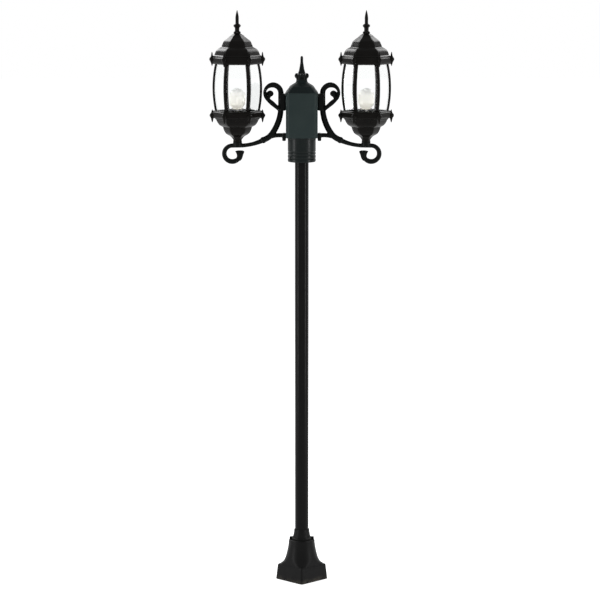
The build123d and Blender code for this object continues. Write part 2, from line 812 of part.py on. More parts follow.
# Bowl: a round neck on the seat, then six sides in two swells, open at the top
with BuildPart() as right_bowl:
    x = lantern_offset
    with BuildSketch(Plane((x, 0, seat_z), x_dir=(1, 0, 0), z_dir=(0, -1, 0))) as neck:
        with BuildLine():
            neck_r, neck_z = bowl_outline[0]
            Line((0, 0), (bowl_neck_flare, 0))
            ThreePointArc(
                (bowl_neck_flare, 0),
                (bowl_neck_r, neck_z * 0.4),
                (neck_r * 0.86, neck_z),
            )
            Polyline((neck_r * 0.86, neck_z), (0, neck_z), (0, 0))
        make_face()
    revolve(neck.sketch, axis=Axis((x, 0, 0), (0, 0, 1)))
    stack(hexagon, bowl_outline, x, seat_z)
    hollow = [(corner_r - bowl_draw, height) for corner_r, height in bowl_outline[bowl_floor:-1]]
    bowl_floor_z = hollow[0][1]
    stack(hexagon, hollow, x, seat_z, mode=Mode.SUBTRACT)
    with BuildSketch(Plane((x, 0, seat_z + hollow[-1][1]))):
        RegularPolygon(bowl_mouth_r, 6)
    extrude(amount=bowl_top - hollow[-1][1], mode=Mode.SUBTRACT)
    with BuildSketch(Plane((x, 0, seat_z))):
        Circle(nipple_d / 2 + snug)
    extrude(amount=bowl_top, mode=Mode.SUBTRACT)
    with BuildSketch(Plane((x, 0, seat_z + hollow[-1][1]))):
        with PolarLocations(rim_screw_circle_r, 3, start_angle=30):
            Circle(rim_screw_d / 2 + snug)
    extrude(amount=bowl_top - hollow[-1][1], mode=Mode.SUBTRACT)

# Threaded nipple through the bowl's floor, and its nut
nipple_top = bowl_floor_z + nipple_rise
with BuildPart() as right_nipple:
    with BuildSketch(Plane((x, 0, seat_z - nipple_reach))):
        Circle(nipple_d / 2)
        Circle(nipple_d / 2 - nipple_wall, mode=Mode.SUBTRACT)
    extrude(amount=nipple_reach + nipple_top)

with BuildPart() as right_locknut:
    with BuildSketch(Plane((x, 0, seat_z + bowl_floor_z))):
        RegularPolygon(locknut_d / 2, 6)
        Circle(nipple_d / 2 + snug, mode=Mode.SUBTRACT)
    extrude(amount=locknut_height)

# Spindle ornament on a corner of a rim, centred on its middle
spindle_points = (
    (0, -ornament_half_height),
    (ornament_spike_r * 0.65, -ornament_half_height * 0.85),
    (ornament_spike_r, -ornament_half_height * 0.62),
    (ornament_spike_r, -ornament_half_height * 0.4),
    (ornament_r * 0.85, -ornament_half_height * 0.17),
    (ornament_r, 0),
    (ornament_r * 0.85, ornament_half_height * 0.17),
    (ornament_spike_r, ornament_half_height * 0.4),
    (ornament_spike_r * 0.65, ornament_half_height * 0.85),
    (0, ornament_half_height),
)


def band(foot, shift):
    """The outer band of a rim with a spindle on each corner."""
    edge = rim_r - rim_edge
    sides = (
        (edge, 0.0),
        (rim_r, rim_edge_height),
        (rim_r, rim_height - rim_edge_height),
        (edge, rim_height),
    )
    stack(hexagon, sides, x, foot)
    middle = foot + rim_height / 2 + shift
    spindle_x = x + rim_r - ornament_inset
    spindle = spin(spindle_x, middle, *spindle_points, mode=Mode.PRIVATE)
    copies(spindle, corners)


# Lower rim: a hollow band with a web at its foot and one at its top
with BuildPart() as right_lower_rim:
    foot = seat_z + bowl_top
    band(foot, -ornament_shift)
    channel_r = rim_r - rim_wall
    with BuildSketch(Plane((x, 0, foot + rim_web))):
        RegularPolygon(channel_r, 6)
    extrude(amount=rim_height - 2 * rim_web, mode=Mode.SUBTRACT)
    with BuildSketch(Plane((x, 0, foot))):
        RegularPolygon(rim_ledge_r, 6)
        with PolarLocations(rim_screw_circle_r, 3, start_angle=30):
            Circle(rim_screw_d / 2 + snug)
    extrude(amount=rim_web, mode=Mode.SUBTRACT)
    with BuildSketch(Plane((x, 0, foot + rim_height - rim_web))):
        RegularPolygon(rim_opening_r, 6)
    extrude(amount=rim_web, mode=Mode.SUBTRACT)

# Screws between the lower rim and the bowl's flange
with BuildPart() as right_rim_screws:
    foot = seat_z + hollow[-1][1]
    head = seat_z + bowl_top + rim_web
    with BuildSketch(Plane((x, 0, foot))):
        with PolarLocations(rim_screw_circle_r, 3, start_angle=30):
            Circle(rim_screw_d / 2)
    extrude(amount=head - foot)
    with BuildSketch(Plane((x, 0, head))):
        with PolarLocations(rim_screw_circle_r, 3, start_angle=30):
            Circle(rim_screw_head_d / 2)
    extrude(amount=rim_screw_head)

# Tray that lies on the lower rim's foot web and carries the lamp holder
with BuildPart() as right_tray:
    with BuildSketch(Plane((x, 0, seat_z + tray_foot))):
        RegularPolygon(tray_r, 6)
        Circle(lead_d / 2 + 3 * slip, mode=Mode.SUBTRACT)
    extrude(amount=tray_thickness)

# Six bowed bars of the cage
with BuildPart() as right_cage_bars:
    foot = seat_z + cage_foot
    with BuildSketch(Plane((x, 0, foot), x_dir=(1, 0, 0), z_dir=(0, -1, 0))) as bar_side:
        with BuildLine():
            outer = ThreePointArc((bar_foot_r, 0), (bar_belly_r, cage_height / 2), (bar_top_r, cage_height))
            inner = ThreePointArc(
                (bar_foot_r - bar_depth, 0),
                (bar_belly_r - bar_depth, cage_height / 2),
                (bar_top_r - bar_depth, cage_height),
            )
            Line(outer @ 0, inner @ 0)
            Line(outer @ 1, inner @ 1)
        make_face()
    bar = extrude(bar_side.sketch, amount=bar_width / 2, both=True, mode=Mode.PRIVATE)
    copies(bar, corners)

# Six bowed panes between the bars, cut parallel to the sides of the bars
with BuildPart() as right_panes:
    squareness = cos(radians(30))
    pane_foot, pane_belly, pane_top = (
        corner_r * squareness - pane_inset for corner_r in (bar_foot_r, bar_belly_r, bar_top_r)
    )
    with BuildSketch(Plane((x, 0, foot), x_dir=(1, 0, 0), z_dir=(0, -1, 0))) as pane_side:
        with BuildLine():
            outer = ThreePointArc((pane_foot, 0), (pane_belly, cage_height / 2), (pane_top, cage_height))
            inner = ThreePointArc(
                (pane_foot - pane_thickness, 0),
                (pane_belly - pane_thickness, cage_height / 2),
                (pane_top - pane_thickness, cage_height),
            )
            Line(outer @ 0, inner @ 0)
            Line(outer @ 1, inner @ 1)
        make_face()
    slab = extrude(pane_side.sketch, amount=bar_belly_r, both=True, mode=Mode.PRIVATE)
    gap = (bar_width / 2 + 2 * snug) / sin(radians(30))
    with BuildSketch(Plane((x, 0, foot))) as wedge_side:
        spread = (bar_belly_r - gap) * tan(radians(30))
        Polygon((gap, 0), (bar_belly_r, -spread), (bar_belly_r, spread), align=None)
    wedge = extrude(wedge_side.sketch, amount=cage_height, mode=Mode.PRIVATE)
    copies(slab & wedge, flats)

# Upper rim: a band with a web at its foot, open at the top
with BuildPart() as right_upper_rim:
    foot = seat_z + upper_foot
    band(foot, ornament_shift)
    with BuildSketch(Plane((x, 0, foot + rim_web))):
        RegularPolygon(channel_r, 6)
    extrude(amount=rim_height - rim_web, mode=Mode.SUBTRACT)
    with BuildSketch(Plane((x, 0, foot))):
        RegularPolygon(rim_opening_r, 6)
        with GridLocations(2 * strap_screw_x, 0, 2, 1):
            Circle(strap_screw_d / 2 + snug)
    extrude(amount=rim_web, mode=Mode.SUBTRACT)

# Strap across the upper rim with a nut welded on it, and the stud that holds roof and finial
strap_foot = seat_z + upper_foot + rim_web
with BuildPart() as right_roof_strap:
    with BuildSketch(Plane((x, 0, strap_foot))):
        Rectangle(strap_length, strap_width)
        with GridLocations(2 * strap_screw_x, 0, 2, 1):
            Circle(strap_screw_d / 2 + snug, mode=Mode.SUBTRACT)
    extrude(amount=strap_thickness)
    with BuildSketch(Plane((x, 0, strap_foot + strap_thickness))):
        RegularPolygon(stud_d * 0.9, 6)
    extrude(amount=stud_nut_height)
    with BuildSketch(Plane((x, 0, strap_foot))):
        Circle(stud_d / 2 + snug)
    extrude(amount=strap_thickness + stud_nut_height, mode=Mode.SUBTRACT)

with BuildPart() as right_roof_stud:
    with BuildSketch(Plane((x, 0, strap_foot))):
        Circle(stud_d / 2)
    extrude(amount=seat_z + stud_top - strap_foot)

with BuildPart() as right_strap_screws:
    with BuildSketch(Plane((x, 0, strap_foot - rim_web))):
        with GridLocations(2 * strap_screw_x, 0, 2, 1):
            Circle(strap_screw_d / 2)
    extrude(amount=rim_web + strap_thickness)
    with BuildSketch(Plane((x, 0, strap_foot + strap_thickness))):
        with GridLocations(2 * strap_screw_x, 0, 2, 1):
            Circle(rim_screw_head_d / 2)
    extrude(amount=rim_screw_head)

# Roof: six sides in two tiers, hollow underneath
with BuildPart() as right_roof:
    foot = seat_z + roof_foot
    stack(hexagon, roof_outline, x, foot)
    stack(hexagon, roof_hollow, x, foot, mode=Mode.SUBTRACT)
    with BuildSketch(Plane((x, 0, foot))):
        Circle(stud_d / 2 + slip)
    extrude(amount=roof_outline[-1][1], mode=Mode.SUBTRACT)

# Crown of six lobes on the roof
with BuildPart() as right_crown:
    foot = seat_z + crown_foot
    spin(
        x,
        foot,
        (0, 0),
        (crown_foot_r, 0),
        (crown_waist_r, cap_height * 0.7),
        (crown_top_r, cap_height),
        (0, cap_height),
    )
    for angle in corners:
        way = Vector(lobe_circle_r, 0, 0).rotate(Axis.Z, angle + 30)
        with Locations((x + way.X, way.Y, foot + lobe_height)):
            Sphere(lobe_r)
    with BuildSketch(Plane((x, 0, foot))):
        Circle(stud_d / 2 + slip)
    extrude(amount=cap_height, mode=Mode.SUBTRACT)

# Finial: neck, ball and spike, screwed on the stud
with BuildPart() as right_finial:
    foot = seat_z + finial_foot
    with BuildSketch(Plane((x, 0, foot), x_dir=(1, 0, 0), z_dir=(0, -1, 0))) as finial_side:
        with BuildLine():
            ball_foot = finial_ball_z - finial_ball_half_height
            ball_top = finial_ball_z + finial_ball_half_height
            Polyline(
                (0, 0),
                (finial_neck_r, 0),
                (finial_neck_r, ball_foot),
            )
            ThreePointArc(
                (finial_neck_r, ball_foot),
                (finial_ball_r, finial_ball_z),
                (finial_spike_r, ball_top),
            )
            Line((finial_spike_r, ball_top), (finial_spike_r, finial_tip_z))
            ThreePointArc(
                (finial_spike_r, finial_tip_z),
                (finial_spike_r * 0.6, (finial_tip_z + finial_height) / 2),
                (0, finial_height),
            )
            Line((0, finial_height), (0, 0))
        make_face()
    revolve(finial_side.sketch, axis=Axis((x, 0, 0), (0, 0, 1)))
    with BuildSketch(Plane((x, 0, foot))):
        Circle(stud_d / 2 + slip)
    extrude(amount=stud_reach + 3, mode=Mode.SUBTRACT)

# Lamp holder, with the metal cap of the bulb in it
with BuildPart() as right_socket:
    foot = seat_z + lamp_foot
    with BuildSketch(Plane((x, 0, foot))):
        Circle(socket_r)
    extrude(amount=socket_height)
    with BuildSketch(Plane((x, 0, foot + socket_floor))):
        Circle(bulb_cap_d / 2 + slip)
    extrude(amount=socket_height - socket_floor, mode=Mode.SUBTRACT)
    chamfer(edges().filter_by(GeomType.CIRCLE).sort_by(Axis.Z)[-1:], 2)

with BuildPart() as right_bulb_base:
    cap_z = foot + socket_floor + bulb_cap_gap
    with BuildSketch(Plane((x, 0, cap_z))):
        Circle(bulb_cap_d / 2)
    extrude(amount=bulb_cap_height)
    chamfer(edges().sort_by(Axis.Z)[:1], 3)

# Bulb: a thin glass jar on the cap
with BuildPart() as right_bulb:
    glass_z = cap_z + bulb_cap_height
    for wall, mode in ((0.0, Mode.ADD), (bulb_wall, Mode.SUBTRACT)):
        with BuildSketch(Plane((x, 0, glass_z), x_dir=(1, 0, 0), z_dir=(0, -1, 0))) as glass_side:
            with BuildLine():
                dome_z = bulb_height - bulb_r
                Line((0, 0), (bulb_foot_r - wall, 0))
                ThreePointArc(
                    (bulb_foot_r - wall, 0),
                    (bulb_r * 0.85 - wall, bulb_foot_r * 0.6),
                    (bulb_r - wall, bulb_r),
                )
                Line((bulb_r - wall, bulb_r), (bulb_r - wall, dome_z))
                ThreePointArc(
                    (bulb_r - wall, dome_z),
                    ((bulb_r - wall) * sin(radians(45)), dome_z + (bulb_r - wall) * sin(radians(45))),
                    (0, dome_z + bulb_r - wall),
                )
                Line((0, dome_z + bulb_r - wall), (0, 0))
            make_face()
        revolve(glass_side.sketch, axis=Axis((x, 0, 0), (0, 0, 1)), mode=mode)

# Notched cup round the lamp holder
with BuildPart() as right_socket_cup:
    with BuildSketch(Plane((x, 0, foot))):
        Circle(cup_r)
        Circle(socket_r + slip, mode=Mode.SUBTRACT)
    extrude(amount=cup_wall)
    with BuildSketch(Plane((x, 0, foot))):
        Circle(cup_r)
        Circle(cup_r - cup_wall, mode=Mode.SUBTRACT)
    extrude(amount=cup_height)
    notch_width, notch_depth = cup_notch
    with BuildSketch(Plane((x, 0, foot + cup_height - notch_depth))):
        with PolarLocations(cup_r, cup_notches // 2, start_angle=30, angular_range=180):
            Rectangle(4 * cup_wall, notch_width)
        with PolarLocations(cup_r, cup_notches // 2, start_angle=210, angular_range=180):
            Rectangle(4 * cup_wall, notch_width)
    extrude(amount=notch_depth, mode=Mode.SUBTRACT)

# The right arm and lantern, and their mirror images on the left
pairs = {
    "arm": right_arm,
    "arm_bolts": right_arm_bolts,
    "lead": right_lead,
    "bowl": right_bowl,
    "nipple": right_nipple,
    "locknut": right_locknut,
    "lower_rim": right_lower_rim,
    "rim_screws": right_rim_screws,
    "tray": right_tray,
    "cage_bars": right_cage_bars,
    "panes": right_panes,
    "upper_rim": right_upper_rim,
    "roof_strap": right_roof_strap,
    "roof_stud": right_roof_stud,
    "strap_screws": right_strap_screws,
    "roof": right_roof,
    "crown": right_crown,
    "finial": right_finial,
    "socket": right_socket,
    "socket_cup": right_socket_cup,
    "bulb": right_bulb,
    "bulb_base": right_bulb_base,
}
for name, right in pairs.items():
    write(right, "right_" + name)
    with BuildPart() as left:
        mirror(right.part, about=Plane.YZ)
    write(left, "left_" + name)
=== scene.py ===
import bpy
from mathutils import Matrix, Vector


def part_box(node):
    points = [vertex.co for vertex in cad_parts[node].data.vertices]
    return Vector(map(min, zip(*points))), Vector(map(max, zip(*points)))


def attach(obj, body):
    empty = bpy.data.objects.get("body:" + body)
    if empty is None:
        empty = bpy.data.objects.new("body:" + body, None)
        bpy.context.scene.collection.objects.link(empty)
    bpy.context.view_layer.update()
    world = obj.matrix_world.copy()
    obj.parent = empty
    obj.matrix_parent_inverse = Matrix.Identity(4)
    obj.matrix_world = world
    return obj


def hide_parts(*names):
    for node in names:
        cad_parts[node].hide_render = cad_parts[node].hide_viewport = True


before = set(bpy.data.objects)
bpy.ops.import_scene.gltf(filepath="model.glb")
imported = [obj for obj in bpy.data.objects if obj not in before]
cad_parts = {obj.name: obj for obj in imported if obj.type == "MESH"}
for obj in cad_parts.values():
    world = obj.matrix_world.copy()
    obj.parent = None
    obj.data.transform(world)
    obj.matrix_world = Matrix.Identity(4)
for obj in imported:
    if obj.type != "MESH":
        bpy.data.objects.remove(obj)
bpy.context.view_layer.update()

import math

import bmesh
import bpy
from mathutils import Matrix, Vector

# Where the post stands: a plain pale floor in a white room, seen from the front.
# The eye is nearly ten metres off and a little higher than the lanterns.
scene = bpy.context.scene
scene.view_settings.view_transform = "Standard"

eye = bpy.data.cameras.new("eye")
eye.sensor_width = 36.0
eye.lens = 159.7
eye.clip_end = 100.0
eye_object = bpy.data.objects.new("eye", eye)
eye_object.location = (-0.0065, -9.8, 2.5)
eye_object.rotation_euler = (math.radians(90.0 - 8.34), 0.0, 0.0)
scene.collection.objects.link(eye_object)
scene.camera = eye_object


def link(nodes, start, end):
    """Joins two sockets of a node tree."""
    nodes.id_data.links.new(start, end)


def seen_directly(nodes):
    """1 for what the eye, a reflection or clear glass looks at, and 0 for light that scatters."""
    path = nodes.new("ShaderNodeLightPath")
    first = nodes.new("ShaderNodeMath")
    first.operation = "MAXIMUM"
    link(nodes, path.outputs["Is Camera Ray"], first.inputs[0])
    link(nodes, path.outputs["Is Glossy Ray"], first.inputs[1])
    second = nodes.new("ShaderNodeMath")
    second.operation = "MAXIMUM"
    link(nodes, first.outputs[0], second.inputs[0])
    link(nodes, path.outputs["Is Transmission Ray"], second.inputs[1])
    return second.outputs[0]


room = bpy.data.worlds.new("room")
room.use_nodes = True
room_nodes = room.node_tree.nodes
background = room_nodes["Background"]
room_light = room_nodes.new("ShaderNodeMix")
room_light.data_type = "RGBA"
room_light.inputs["A"].default_value = (0.45, 0.455, 0.46, 1.0)
room_light.inputs["B"].default_value = (1.0, 1.0, 1.0, 1.0)
link(room_nodes, seen_directly(room_nodes), room_light.inputs["Factor"])
link(room_nodes, room_light.outputs["Result"], background.inputs["Color"])
scene.world = room

floor_mesh = bpy.data.meshes.new("floor")
reach = 30.0
floor_mesh.from_pydata(
    [(-reach, -reach, 0.0), (reach, -reach, 0.0), (reach, reach, 0.0), (-reach, reach, 0.0)],
    [],
    [(0, 1, 2, 3)],
)
floor = bpy.data.objects.new("floor", floor_mesh)
scene.collection.objects.link(floor)
floor_paint = bpy.data.materials.new("pale floor")
floor_paint.use_nodes = True
floor_nodes = floor_paint.node_tree.nodes
floor_shader = floor_nodes["Principled BSDF"]
floor_shader.inputs["Base Color"].default_value = (0.8, 0.8, 0.8, 1.0)
floor_shader.inputs["Roughness"].default_value = 0.9
floor_shader.inputs["Specular IOR Level"].default_value = 0.0
floor_shader.inputs["Emission Color"].default_value = (1.0, 1.0, 1.0, 1.0)
floor_glow = floor_nodes.new("ShaderNodeMath")
floor_glow.operation = "MULTIPLY"
floor_glow.inputs[1].default_value = 0.7
link(floor_nodes, seen_directly(floor_nodes), floor_glow.inputs[0])
link(floor_nodes, floor_glow.outputs[0], floor_shader.inputs["Emission Strength"])
floor_mesh.materials.append(floor_paint)


def lamp(name, place, target, size, power):
    """A soft rectangular studio lamp that the eye doesn't see."""
    light = bpy.data.lights.new(name, "AREA")
    light.shape = "RECTANGLE"
    light.size, light.size_y = size
    light.energy = power
    body = bpy.data.objects.new(name, light)
    body.location = place
    body.rotation_euler = (Vector(target) - Vector(place)).to_track_quat("-Z", "Y").to_euler()
    body.visible_camera = False
    scene.collection.objects.link(body)


lamp("left strip", (-3.85, -1.6, 1.6), (0.0, 0.0, 1.2), (0.5, 3.6), 105.0)
lamp("right strip", (3.8, -1.8, 1.6), (0.0, 0.0, 1.2), (0.5, 3.6), 100.0)
lamp("left back", (-2.3, 3.3, 4.1), (0.0, 0.0, 2.0), (1.7, 1.9), 105.0)
lamp("right back", (2.3, 3.3, 4.1), (0.0, 0.0, 2.0), (1.7, 1.9), 70.0)

# Weathered black paint, on every casting and on the pole.
# The coat is satin, a little uneven like the skin of an orange, chalky in patches, and dusty low down.
def finish_group(name, inputs):
    """An empty shader group with a vector and these inputs, and its two ends."""
    group = bpy.data.node_groups.new(name, "ShaderNodeTree")
    group.interface.new_socket("Vector", in_out="INPUT", socket_type="NodeSocketVector")
    for label, start in inputs:
        kind = "NodeSocketColor" if isinstance(start, tuple) else "NodeSocketFloat"
        group.interface.new_socket(label, in_out="INPUT", socket_type=kind).default_value = start
    for label, kind in (
        ("Color", "NodeSocketColor"),
        ("Roughness", "NodeSocketFloat"),
        ("Normal", "NodeSocketVector"),
    ):
        group.interface.new_socket(label, in_out="OUTPUT", socket_type=kind)
    return group, group.nodes.new("NodeGroupInput"), group.nodes.new("NodeGroupOutput")


def finished(name, group, values):
    """A material whose colour, roughness and normal come from a group with these values, and its shader."""
    material = bpy.data.materials.new(name)
    material.use_nodes = True
    nodes = material.node_tree.nodes
    where = nodes.new("ShaderNodeTexCoord")
    surface = nodes.new("ShaderNodeGroup")
    surface.node_tree = group
    link(nodes, where.outputs["Object"], surface.inputs["Vector"])
    for label, value in values.items():
        surface.inputs[label].default_value = (*value, 1.0) if isinstance(value, tuple) else value
    shader = nodes["Principled BSDF"]
    for start, end in (("Color", "Base Color"), ("Roughness", "Roughness"), ("Normal", "Normal")):
        link(nodes, surface.outputs[start], shader.inputs[end])
    return material, shader


def noise(nodes, vector, scale, detail=2.0, roughness=0.5):
    """A noise texture read at the vector."""
    texture = nodes.new("ShaderNodeTexNoise")
    texture.inputs["Scale"].default_value = scale
    texture.inputs["Detail"].default_value = detail
    texture.inputs["Roughness"].default_value = roughness
    link(nodes, vector, texture.inputs["Vector"])
    return texture.outputs["Fac"]


def span(nodes, value, low, high, to_low=0.0, to_high=1.0):
    """The value, stretched from low..high to to_low..to_high."""
    spread = nodes.new("ShaderNodeMapRange")
    spread.inputs["From Min"].default_value = low
    spread.inputs["From Max"].default_value = high
    spread.inputs["To Min"].default_value = to_low
    spread.inputs["To Max"].default_value = to_high
    link(nodes, value, spread.inputs["Value"])
    return spread.outputs["Result"]


def math_sum(nodes, operation, *values):
    """A number worked out from sockets or numbers."""
    node = nodes.new("ShaderNodeMath")
    node.operation = operation
    for socket, value in zip(node.inputs, values):
        if isinstance(value, (int, float)):
            socket.default_value = value
        else:
            link(nodes, value, socket)
    return node.outputs[0]


def mixed(nodes, factor, first, second):
    """Two colours mixed by a factor socket."""
    mix = nodes.new("ShaderNodeMix")
    mix.data_type = "RGBA"
    link(nodes, factor, mix.inputs["Factor"])
    link(nodes, first, mix.inputs["A"])
    link(nodes, second, mix.inputs["B"])
    return mix.outputs["Result"]


aged_paint, paint_in, paint_out = finish_group(
    "aged paint",
    (
        ("Paint", (0.01, 0.01, 0.01, 1.0)),
        ("Chalk", (0.03, 0.03, 0.03, 1.0)),
        ("Dust", (0.06, 0.055, 0.045, 1.0)),
        ("Chalky", 0.5),
        ("Dust Height", 0.12),
        ("Gloss Roughness", 0.3),
        ("Skin", 0.15),
    ),
)
paint_nodes = aged_paint.nodes
at = paint_in.outputs["Vector"]
patches = span(paint_nodes, noise(paint_nodes, at, 14.0, 5.0, 0.6), 0.42, 0.72)
specks = span(paint_nodes, noise(paint_nodes, at, 260.0, 2.0), 0.62, 0.78)
chalk = math_sum(paint_nodes, "MULTIPLY", patches, paint_in.outputs["Chalky"])
height = paint_nodes.new("ShaderNodeSeparateXYZ")
link(paint_nodes, at, height.inputs["Vector"])
low_down = math_sum(paint_nodes, "DIVIDE", height.outputs["Z"], paint_in.outputs["Dust Height"])
low_down = span(paint_nodes, low_down, 0.0, 1.0, 1.0, 0.0)
streaks = span(paint_nodes, noise(paint_nodes, at, 45.0, 4.0, 0.65), 0.4, 0.65)
dust = math_sum(paint_nodes, "MULTIPLY", low_down, streaks)
dust = math_sum(paint_nodes, "ADD", dust, math_sum(paint_nodes, "MULTIPLY", specks, 0.12))
coat = mixed(paint_nodes, chalk, paint_in.outputs["Paint"], paint_in.outputs["Chalk"])
coat = mixed(paint_nodes, dust, coat, paint_in.outputs["Dust"])
link(paint_nodes, coat, paint_out.inputs["Color"])
rough = math_sum(paint_nodes, "MULTIPLY_ADD", chalk, 0.18, paint_in.outputs["Gloss Roughness"])
rough = math_sum(paint_nodes, "ADD", rough, math_sum(paint_nodes, "MULTIPLY", dust, 0.3))
link(paint_nodes, rough, paint_out.inputs["Roughness"])
skin = paint_nodes.new("ShaderNodeBump")
skin.inputs["Distance"].default_value = 0.0006
link(paint_nodes, paint_in.outputs["Skin"], skin.inputs["Strength"])
link(paint_nodes, noise(paint_nodes, at, 420.0, 3.0), skin.inputs["Height"])
link(paint_nodes, skin.outputs["Normal"], paint_out.inputs["Normal"])


def painted(name, colour, chalk_colour, roughness, chalky, dust_height, skin_depth, specular):
    """A painted finish from the aged paint group."""
    values = {
        "Paint": colour,
        "Chalk": chalk_colour,
        "Chalky": chalky,
        "Dust Height": dust_height,
        "Gloss Roughness": roughness,
        "Skin": skin_depth,
    }
    material, shader = finished(name, aged_paint, values)
    shader.inputs["Specular IOR Level"].default_value = specular
    return material


def finish_node(name, material):
    """A CAD piece keeps its shape and takes a finish."""
    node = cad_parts[name]
    node.data.materials.clear()
    node.data.materials.append(material)


# A flanged plate bolts to the footing, with a stub for the pole.
# The cover over it is one casting: a square plinth that stands corner forward, a turned bell,
# and a neck with two screw bosses. It slides down over the plate and hides it.
base_paint = painted(
    "base black", (0.0040, 0.0040, 0.0040), (0.0072, 0.0072, 0.0072),
    roughness=0.4, chalky=0.5, dust_height=0.02, skin_depth=0.15, specular=0.07,
)
finish_node("base_plate", base_paint)
MM = 0.001
COVER = (  # height, radius that the square is cut to, depth inside the outer face
    (0.0, 200.0, 1.0),
    (0.8, 200.0, 0.3),
    (2.0, 200.0, 0.0),
    (20.0, 200.0, 0.0),
    (38.0, 200.0, 0.0),
    (52.0, 200.0, 0.0),
    (55.0, 200.0, 0.2),
    (56.6, 89.6, 0.9),
    (57.6, 87.0, 2.0),
    (58.8, 83.0, 3.0),
    (60.6, 78.0, 3.0),
    (63.2, 73.6, 3.0),
    (67.0, 69.6, 3.0),
    (72.0, 66.2, 3.0),
    (79.0, 62.9, 3.0),
    (88.0, 59.6, 3.0),
    (98.0, 56.9, 3.0),
    (108.0, 54.6, 3.0),
    (119.0, 52.2, 3.0),
    (130.0, 50.4, 3.0),
    (141.0, 49.0, 3.0),
    (147.5, 48.6, 3.0),
    (149.8, 48.3, 3.0),
    (151.6, 47.3, 3.0),
    (152.7, 45.8, 3.0),
    (153.0, 44.0, 3.0),
    (153.0, 37.6, 3.0),
    (153.5, 37.1, 3.0),
    (157.0, 37.7, 3.0),
    (160.3, 36.9, 3.0),
    (161.0, 35.6, 3.0),
    (161.4, 33.6, 3.0),
    (164.0, 33.0, 3.0),
    (172.0, 31.0, 3.0),
    (182.0, 29.2, 3.0),
    (191.8, 28.3, 3.0),
    (193.0, 27.2, 3.0),
    (193.0, 25.9, 3.0),
    (141.0, 25.9, 3.0),
    (141.0, 44.6, 3.0),
    (108.0, 50.4, 3.0),
    (77.0, 59.0, 3.0),
    (53.0, 59.4, 4.0),
    (53.0, 200.0, 4.0),
    (0.0, 200.0, 4.0),
    (0.0, 200.0, 1.0),
)


PLINTH_HALF_DIAGONAL = 96.6
PLINTH_DRAW = 0.1158  # for each millimetre of height
PLINTH_CORNER = 8.0
SIDE_STEPS = 24  # round the cover, on each side of the square
BOSS_HEIGHT = 158.0
BOSS_OUTLINE = ((30.0, 5.6), (42.8, 5.6), (44.8, 5.2), (45.8, 4.4), (46.0, 3.6))  # reach, radius


def plinth_reach(half_diagonal, depth, angle):
    """Distance from the axis to a face inside a rounded square that stands corner forward."""
    corner = PLINTH_CORNER - depth
    flat = (half_diagonal + PLINTH_CORNER * (math.sqrt(2.0) - 1.0)) / math.sqrt(2.0) - depth
    reach = math.sqrt(2.0) * (flat - corner)
    turn = math.radians(abs((angle + 45.0) % 90.0 - 45.0))
    if turn < math.atan2(corner * math.sqrt(0.5), reach + corner * math.sqrt(0.5)):
        return reach * math.cos(turn) + math.sqrt(max(corner**2 - (reach * math.sin(turn)) ** 2, 0.0))
    return flat / math.cos(math.radians(45.0) - turn)


def stacked(name, sections, material, capped=True):
    """A closed shell through rings of points, one above the other."""
    count = len(sections[0])
    mesh = bpy.data.meshes.new(name)
    faces = []
    for level in range(len(sections) - 1):
        low = level * count
        for i in range(count):
            after = (i + 1) % count
            faces.append((low + i, low + after, low + count + after, low + count + i))
    if capped:
        last = (len(sections) - 1) * count
        faces.append(tuple(reversed(range(count))))
        faces.append(tuple(range(last, last + count)))
    mesh.from_pydata([point for ring in sections for point in ring], [], faces)
    mesh.materials.append(material)
    return mesh


def facing_out(mesh, crease=38.0):
    """Closes seams and poles, points the faces outwards and keeps sharp edges sharp."""
    solid = bmesh.new()
    solid.from_mesh(mesh)
    bmesh.ops.remove_doubles(solid, verts=solid.verts, dist=1e-6)
    bmesh.ops.recalc_face_normals(solid, faces=solid.faces)
    solid.to_mesh(mesh)
    solid.free()
    mesh.shade_smooth()
    mesh.set_sharp_from_angle(angle=math.radians(crease))
    return mesh


def joined(name, meshes):
    """Several meshes in one."""
    solid = bmesh.new()
    for mesh in meshes:
        solid.from_mesh(mesh)
    mesh = bpy.data.meshes.new(name)
    solid.to_mesh(mesh)
    solid.free()
    return mesh


def piece(name, meshes, body, stands_for):
    """Joins meshes into one named piece that rides on a body and stands for CAD nodes."""
    mesh = joined(name, meshes)
    for old in meshes[0].materials:
        mesh.materials.append(old)
    mesh.shade_smooth()
    mesh.set_sharp_from_angle(angle=math.radians(38.0))
    thing = bpy.data.objects.new(name, mesh)
    scene.collection.objects.link(thing)
    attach(thing, body)
    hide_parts(*stands_for)


cover_rings = []
for z, cut_round, depth in COVER:
    ring = []
    for step in range(4 * SIDE_STEPS):
        share = step % SIDE_STEPS / (SIDE_STEPS / 2) - 1.0
        angle = 90.0 * (step // SIDE_STEPS) + 45.0 * math.copysign(abs(share) ** 1.5, share)
        reach = min(plinth_reach(PLINTH_HALF_DIAGONAL - PLINTH_DRAW * z, depth, angle), cut_round)
        turn = math.radians(angle)
        ring.append((reach * math.cos(turn) * MM, reach * math.sin(turn) * MM, z * MM))
    cover_rings.append(ring)
cover = facing_out(stacked("cover", cover_rings, base_paint, False), 30.0)
cover_parts = [cover]
for side in (-1, 1):
    boss_rings = []
    for x, r in BOSS_OUTLINE:
        ring = []
        for step in range(20):
            turn = math.radians(18.0 * step)
            ring.append((side * x * MM, r * math.cos(turn) * MM, (BOSS_HEIGHT + r * math.sin(turn)) * MM))
        boss_rings.append(ring)
    cover_parts.append(facing_out(stacked("boss", boss_rings, base_paint)))
piece("base_cover_casting", cover_parts, "base_cover", ("base_cover",))

